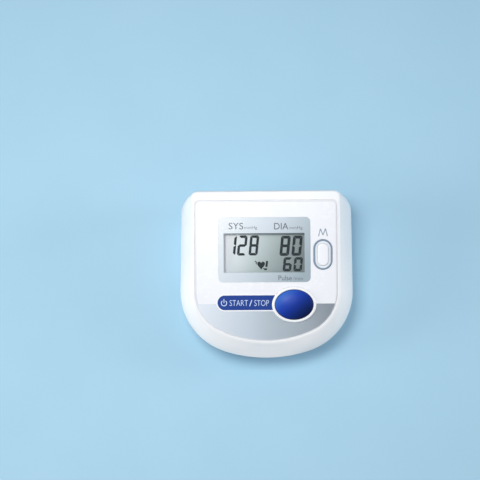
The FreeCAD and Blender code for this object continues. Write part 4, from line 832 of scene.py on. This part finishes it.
label_grey = moulded("label_grey_ink", (93, 99, 113), (83, 89, 103), 0.5, 0.3, 0.004)
for name, words, left, right, low, high, weight in (
        ("label_sys", "SYS", -26.3, -16.0, -26.8, -22.1, 0.0),
        ("label_sys_unit", "mmHg", -15.2, -6.1, -27.3, -24.4, -0.008),
        ("label_dia", "DIA", 5.9, 15.9, -27.0, -22.4, 0.0),
        ("label_dia_unit", "mmHg", 16.8, 25.9, -27.6, -24.7, -0.008),
        ("label_pulse", "Pulse", 8.7, 18.2, -63.0, -59.6, 0.0),
        ("label_pulse_unit", "/min", 19.2, 25.9, -63.0, -60.4, -0.008)):
    lettering(name, words, left, right, low, high, MASK[1], label_grey, "window_clear", weight, 0.015)

# ------------------------------------------------------------------ start key
# An oval domed key in blue ABS, which slides in a raised white ring and presses the switch on
# the board through its stem.


def oval_rings(sizes):
    """Rings of the start key's oval: each size is a growth and a height on the face."""
    return [[on_face(u, v, w) for u, v in ellipse(grow)] for grow, w in sizes]


start_ring = skin("start_ring_moulded", oval_rings([
    (0.3, -0.9), (0.3, 0.9), (0.4, 1.13), (0.62, 1.27), (0.95, 1.3), (1.45, 1.28), (1.9, 1.1), (2.2, 0.7),
    (2.3, 0.2), (2.3, -0.9), (0.3, -0.9)]), caps=False)
settle(start_ring, ring_white, "housing", "ring_white", "start_ring", angle=50)

button_blue = Finish("button_blue_abs", Specular_IOR_Level=0.14)
# The blue is painted light at the upper left and dark at the lower right: a painted highlight and painted
# shade on the dome.
blue_painted_light = button_blue.colours(button_blue.across((0.64, -0.77, 0), 0.0225, 0.0430),
                                (0.0, (54, 105, 198)), (0.3, (36, 71, 178)), (0.56, (22, 53, 149)),
                                (0.78, (16, 42, 114)), (1.0, (12, 26, 78)))
button_blue.feed("Base Color", blue_painted_light)
button_blue.feed("Roughness", button_blue.spread(button_blue.noise(3), 0.3, 0.38))
button_blue.relief(button_blue.noise(0.3), 0.008, 0.3)
KEY_TOP, CROWN, SPREAD = 3.38, 2.4, 1.15
depth = CROWN / (1 - math.sqrt(1 - 1 / SPREAD ** 2))


def crown(share):
    """The height of the key's dome at a share of the way to its edge."""
    return KEY_TOP - depth + depth * math.sqrt(1 - (share / SPREAD) ** 2)


def stem(u, v):
    """The round stem under a key, which reaches down to its switch."""
    return bar("stem", 3.0, on_face(u, v, -5.3) / MM, on_face(u, v, -3.0) / MM)


key_rings = oval_rings([(1.3, -3.15), (1.3, -2.15), (0, -2.15), (0, 0.55), (-0.08, 0.85), (-0.3, 1.15)])
for share in (0.955, 0.92, 0.87, 0.8, 0.7, 0.6, 0.5, 0.4, 0.3, 0.2, 0.1):
    key_rings.append([on_face(u, v, crown(share)) for u, v in oval(START_WIDE * share, START_TALL * share)])
key_rings.append([on_face(u, v, crown(0)) for u, v in oval(0.6, 0.5)])
start_key = joined("start_key_dome", skin("dome", key_rings), stem(START_U, START_V))
settle(start_key, button_blue.material, "start_key", "button_blue", "start_button", angle=50)

# ------------------------------------------------------------------ memory key
# A pale slot-shaped key in ABS, which presses its own switch. It stands in a shallow dish with a
# blue-grey rim, and its letter is printed above.


def slot_rings(sizes):
    """Rings of the memory key's slot: each size is a growth and a height on the face."""
    return [[on_face(u, v, w) for u, v in slot(grow)] for grow, w in sizes]


surround_pale = moulded("surround_pale_abs", (244, 248, 253), (238, 244, 250), 0.36, 0.4, 0.01)
rim_blue = moulded("surround_rim_ink", (132, 152, 174), (120, 141, 165), 0.36, 0.4, 0.008)
memory_dish = skin("memory_dish", slot_rings([
    (1.6, -0.4), (-0.15, -0.4), (-0.15, -1.5), (2.1, -1.5), (2.1, -0.3), (1.6, -0.3), (1.6, -0.4)]),
    caps=False)
settle(memory_dish, surround_pale, "housing", "surround_pale", angle=40)
memory_rim = skin("memory_rim", slot_rings([
    (1.3, -0.38), (1.3, -0.15), (1.36, 0.05), (1.55, 0.15), (2.2, 0.15), (2.42, 0.05), (2.5, -0.15),
    (2.5, -1.5), (2.15, -1.5), (2.15, -0.25), (1.6, -0.25), (1.6, -0.38), (1.3, -0.38)]), caps=False)
settle(memory_rim, rim_blue, "housing", "surround_pale", "memory_surround", angle=50)

button_pale = moulded("button_pale_abs", (248, 250, 254), (242, 244, 252), 0.34, 0.4, 0.01, Coat_Weight=0.2)
memory_cap = skin("cap", slot_rings([
    (1.3, -3.15), (1.3, -2.15), (-0.35, -2.15), (-0.35, 0.1), (-0.43, 0.32), (-0.65, 0.48), (-1.05, 0.55),
    (-2.1, 0.59), (-3.4, 0.6)]))
memory_key = joined("memory_key_cap", memory_cap, stem(MEMORY_U, MEMORY_V))
settle(memory_key, button_pale, "memory_key", "button_pale", "memory_button", angle=50)

label_slate = moulded("label_slate_ink", (150, 166, 184), (138, 155, 174), 0.5, 0.3, 0.004)
HALF_STROKE = 0.33
letter = [Vector(place) for place in
          ((37.2, -32.0), (38.6, -26.7), (40.35, -31.2), (42.1, -26.7), (43.5, -32.0))]
strokes = []
for start, end in zip(letter, letter[1:]):
    side = Vector((start.y - end.y, end.x - start.x)).normalized() * HALF_STROKE
    strokes.append(sheet_of("stroke", [start + side, start - side, end - side, end + side], -0.1, -0.06))
settle(joined("label_memory", *strokes), label_slate, "housing", "surround_pale", weigh=False)

# ------------------------------------------------------------------ floor, light and camera
# A plain pale blue table that runs far out, a soft lamp high above, a warm one low on the left,
# a fill lamp low on the right, and a pale surround. The camera looks down on the sloping face.

bpy.ops.mesh.primitive_plane_add(size=6)
floor = named("table_top")
floor_finish = Finish("table_paint")
floor_finish.feed("Base Color", floor_finish.colours(floor_finish.noise(60), (0.3, (170, 212, 235)),
                                                     (0.7, (173, 214, 237))))
floor_finish.feed("Roughness", floor_finish.spread(floor_finish.noise(4), 0.7, 0.8))
floor.data.materials.append(floor_finish.material)


def lamp(name, place, aim, size, power, colour=(1, 1, 1)):
    """A square soft lamp aimed at a point."""
    bpy.ops.object.light_add(type="AREA", location=place)
    made = bpy.context.object
    made.name = made.data.name = name
    made.data.size, made.data.energy, made.data.color = size, power, colour
    made.rotation_euler = (Vector(aim) - Vector(place)).to_track_quat("-Z", "Y").to_euler()
    return made


lamp("key_lamp", (-0.13, 0.03, 0.64), (0, 0, 0.03), 0.26, 2.07, (1.0, 0.985, 0.972))
lamp("side_lamp", (-1.15, -0.12, 0.42), (0, 0, 0.03), 0.5, 5.9, (1.0, 0.955, 0.9))
lamp("fill_lamp", (1.1, 0.12, 0.38), (0, 0, 0.03), 0.4, 4.5, (1.0, 0.985, 0.965))

world = bpy.data.worlds.new("pale_room")
bpy.context.scene.world = world
world.use_nodes = True
surround = world.node_tree.nodes["Background"].inputs
surround["Color"].default_value, surround["Strength"].default_value = (0.87, 0.94, 1.0, 1), 0.34

view = bpy.data.cameras.new("view")
view.lens, view.sensor_width, view.clip_start = 98.87, 36.0, 0.01
camera = bpy.data.objects.new("view", view)
bpy.context.scene.collection.objects.link(camera)
turn = Matrix()
for angle, axis in ((14.58, "X"), (1.71, "Y"), (-0.381, "Z")):
    turn = turn @ Matrix.Rotation(math.radians(angle), 4, axis)
camera.matrix_world = Matrix.Translation(Vector((9.53, -215.92, 949.28)) * MM) @ turn
bpy.context.scene.camera = camera
bpy.context.scene.view_settings.view_transform = "Standard"
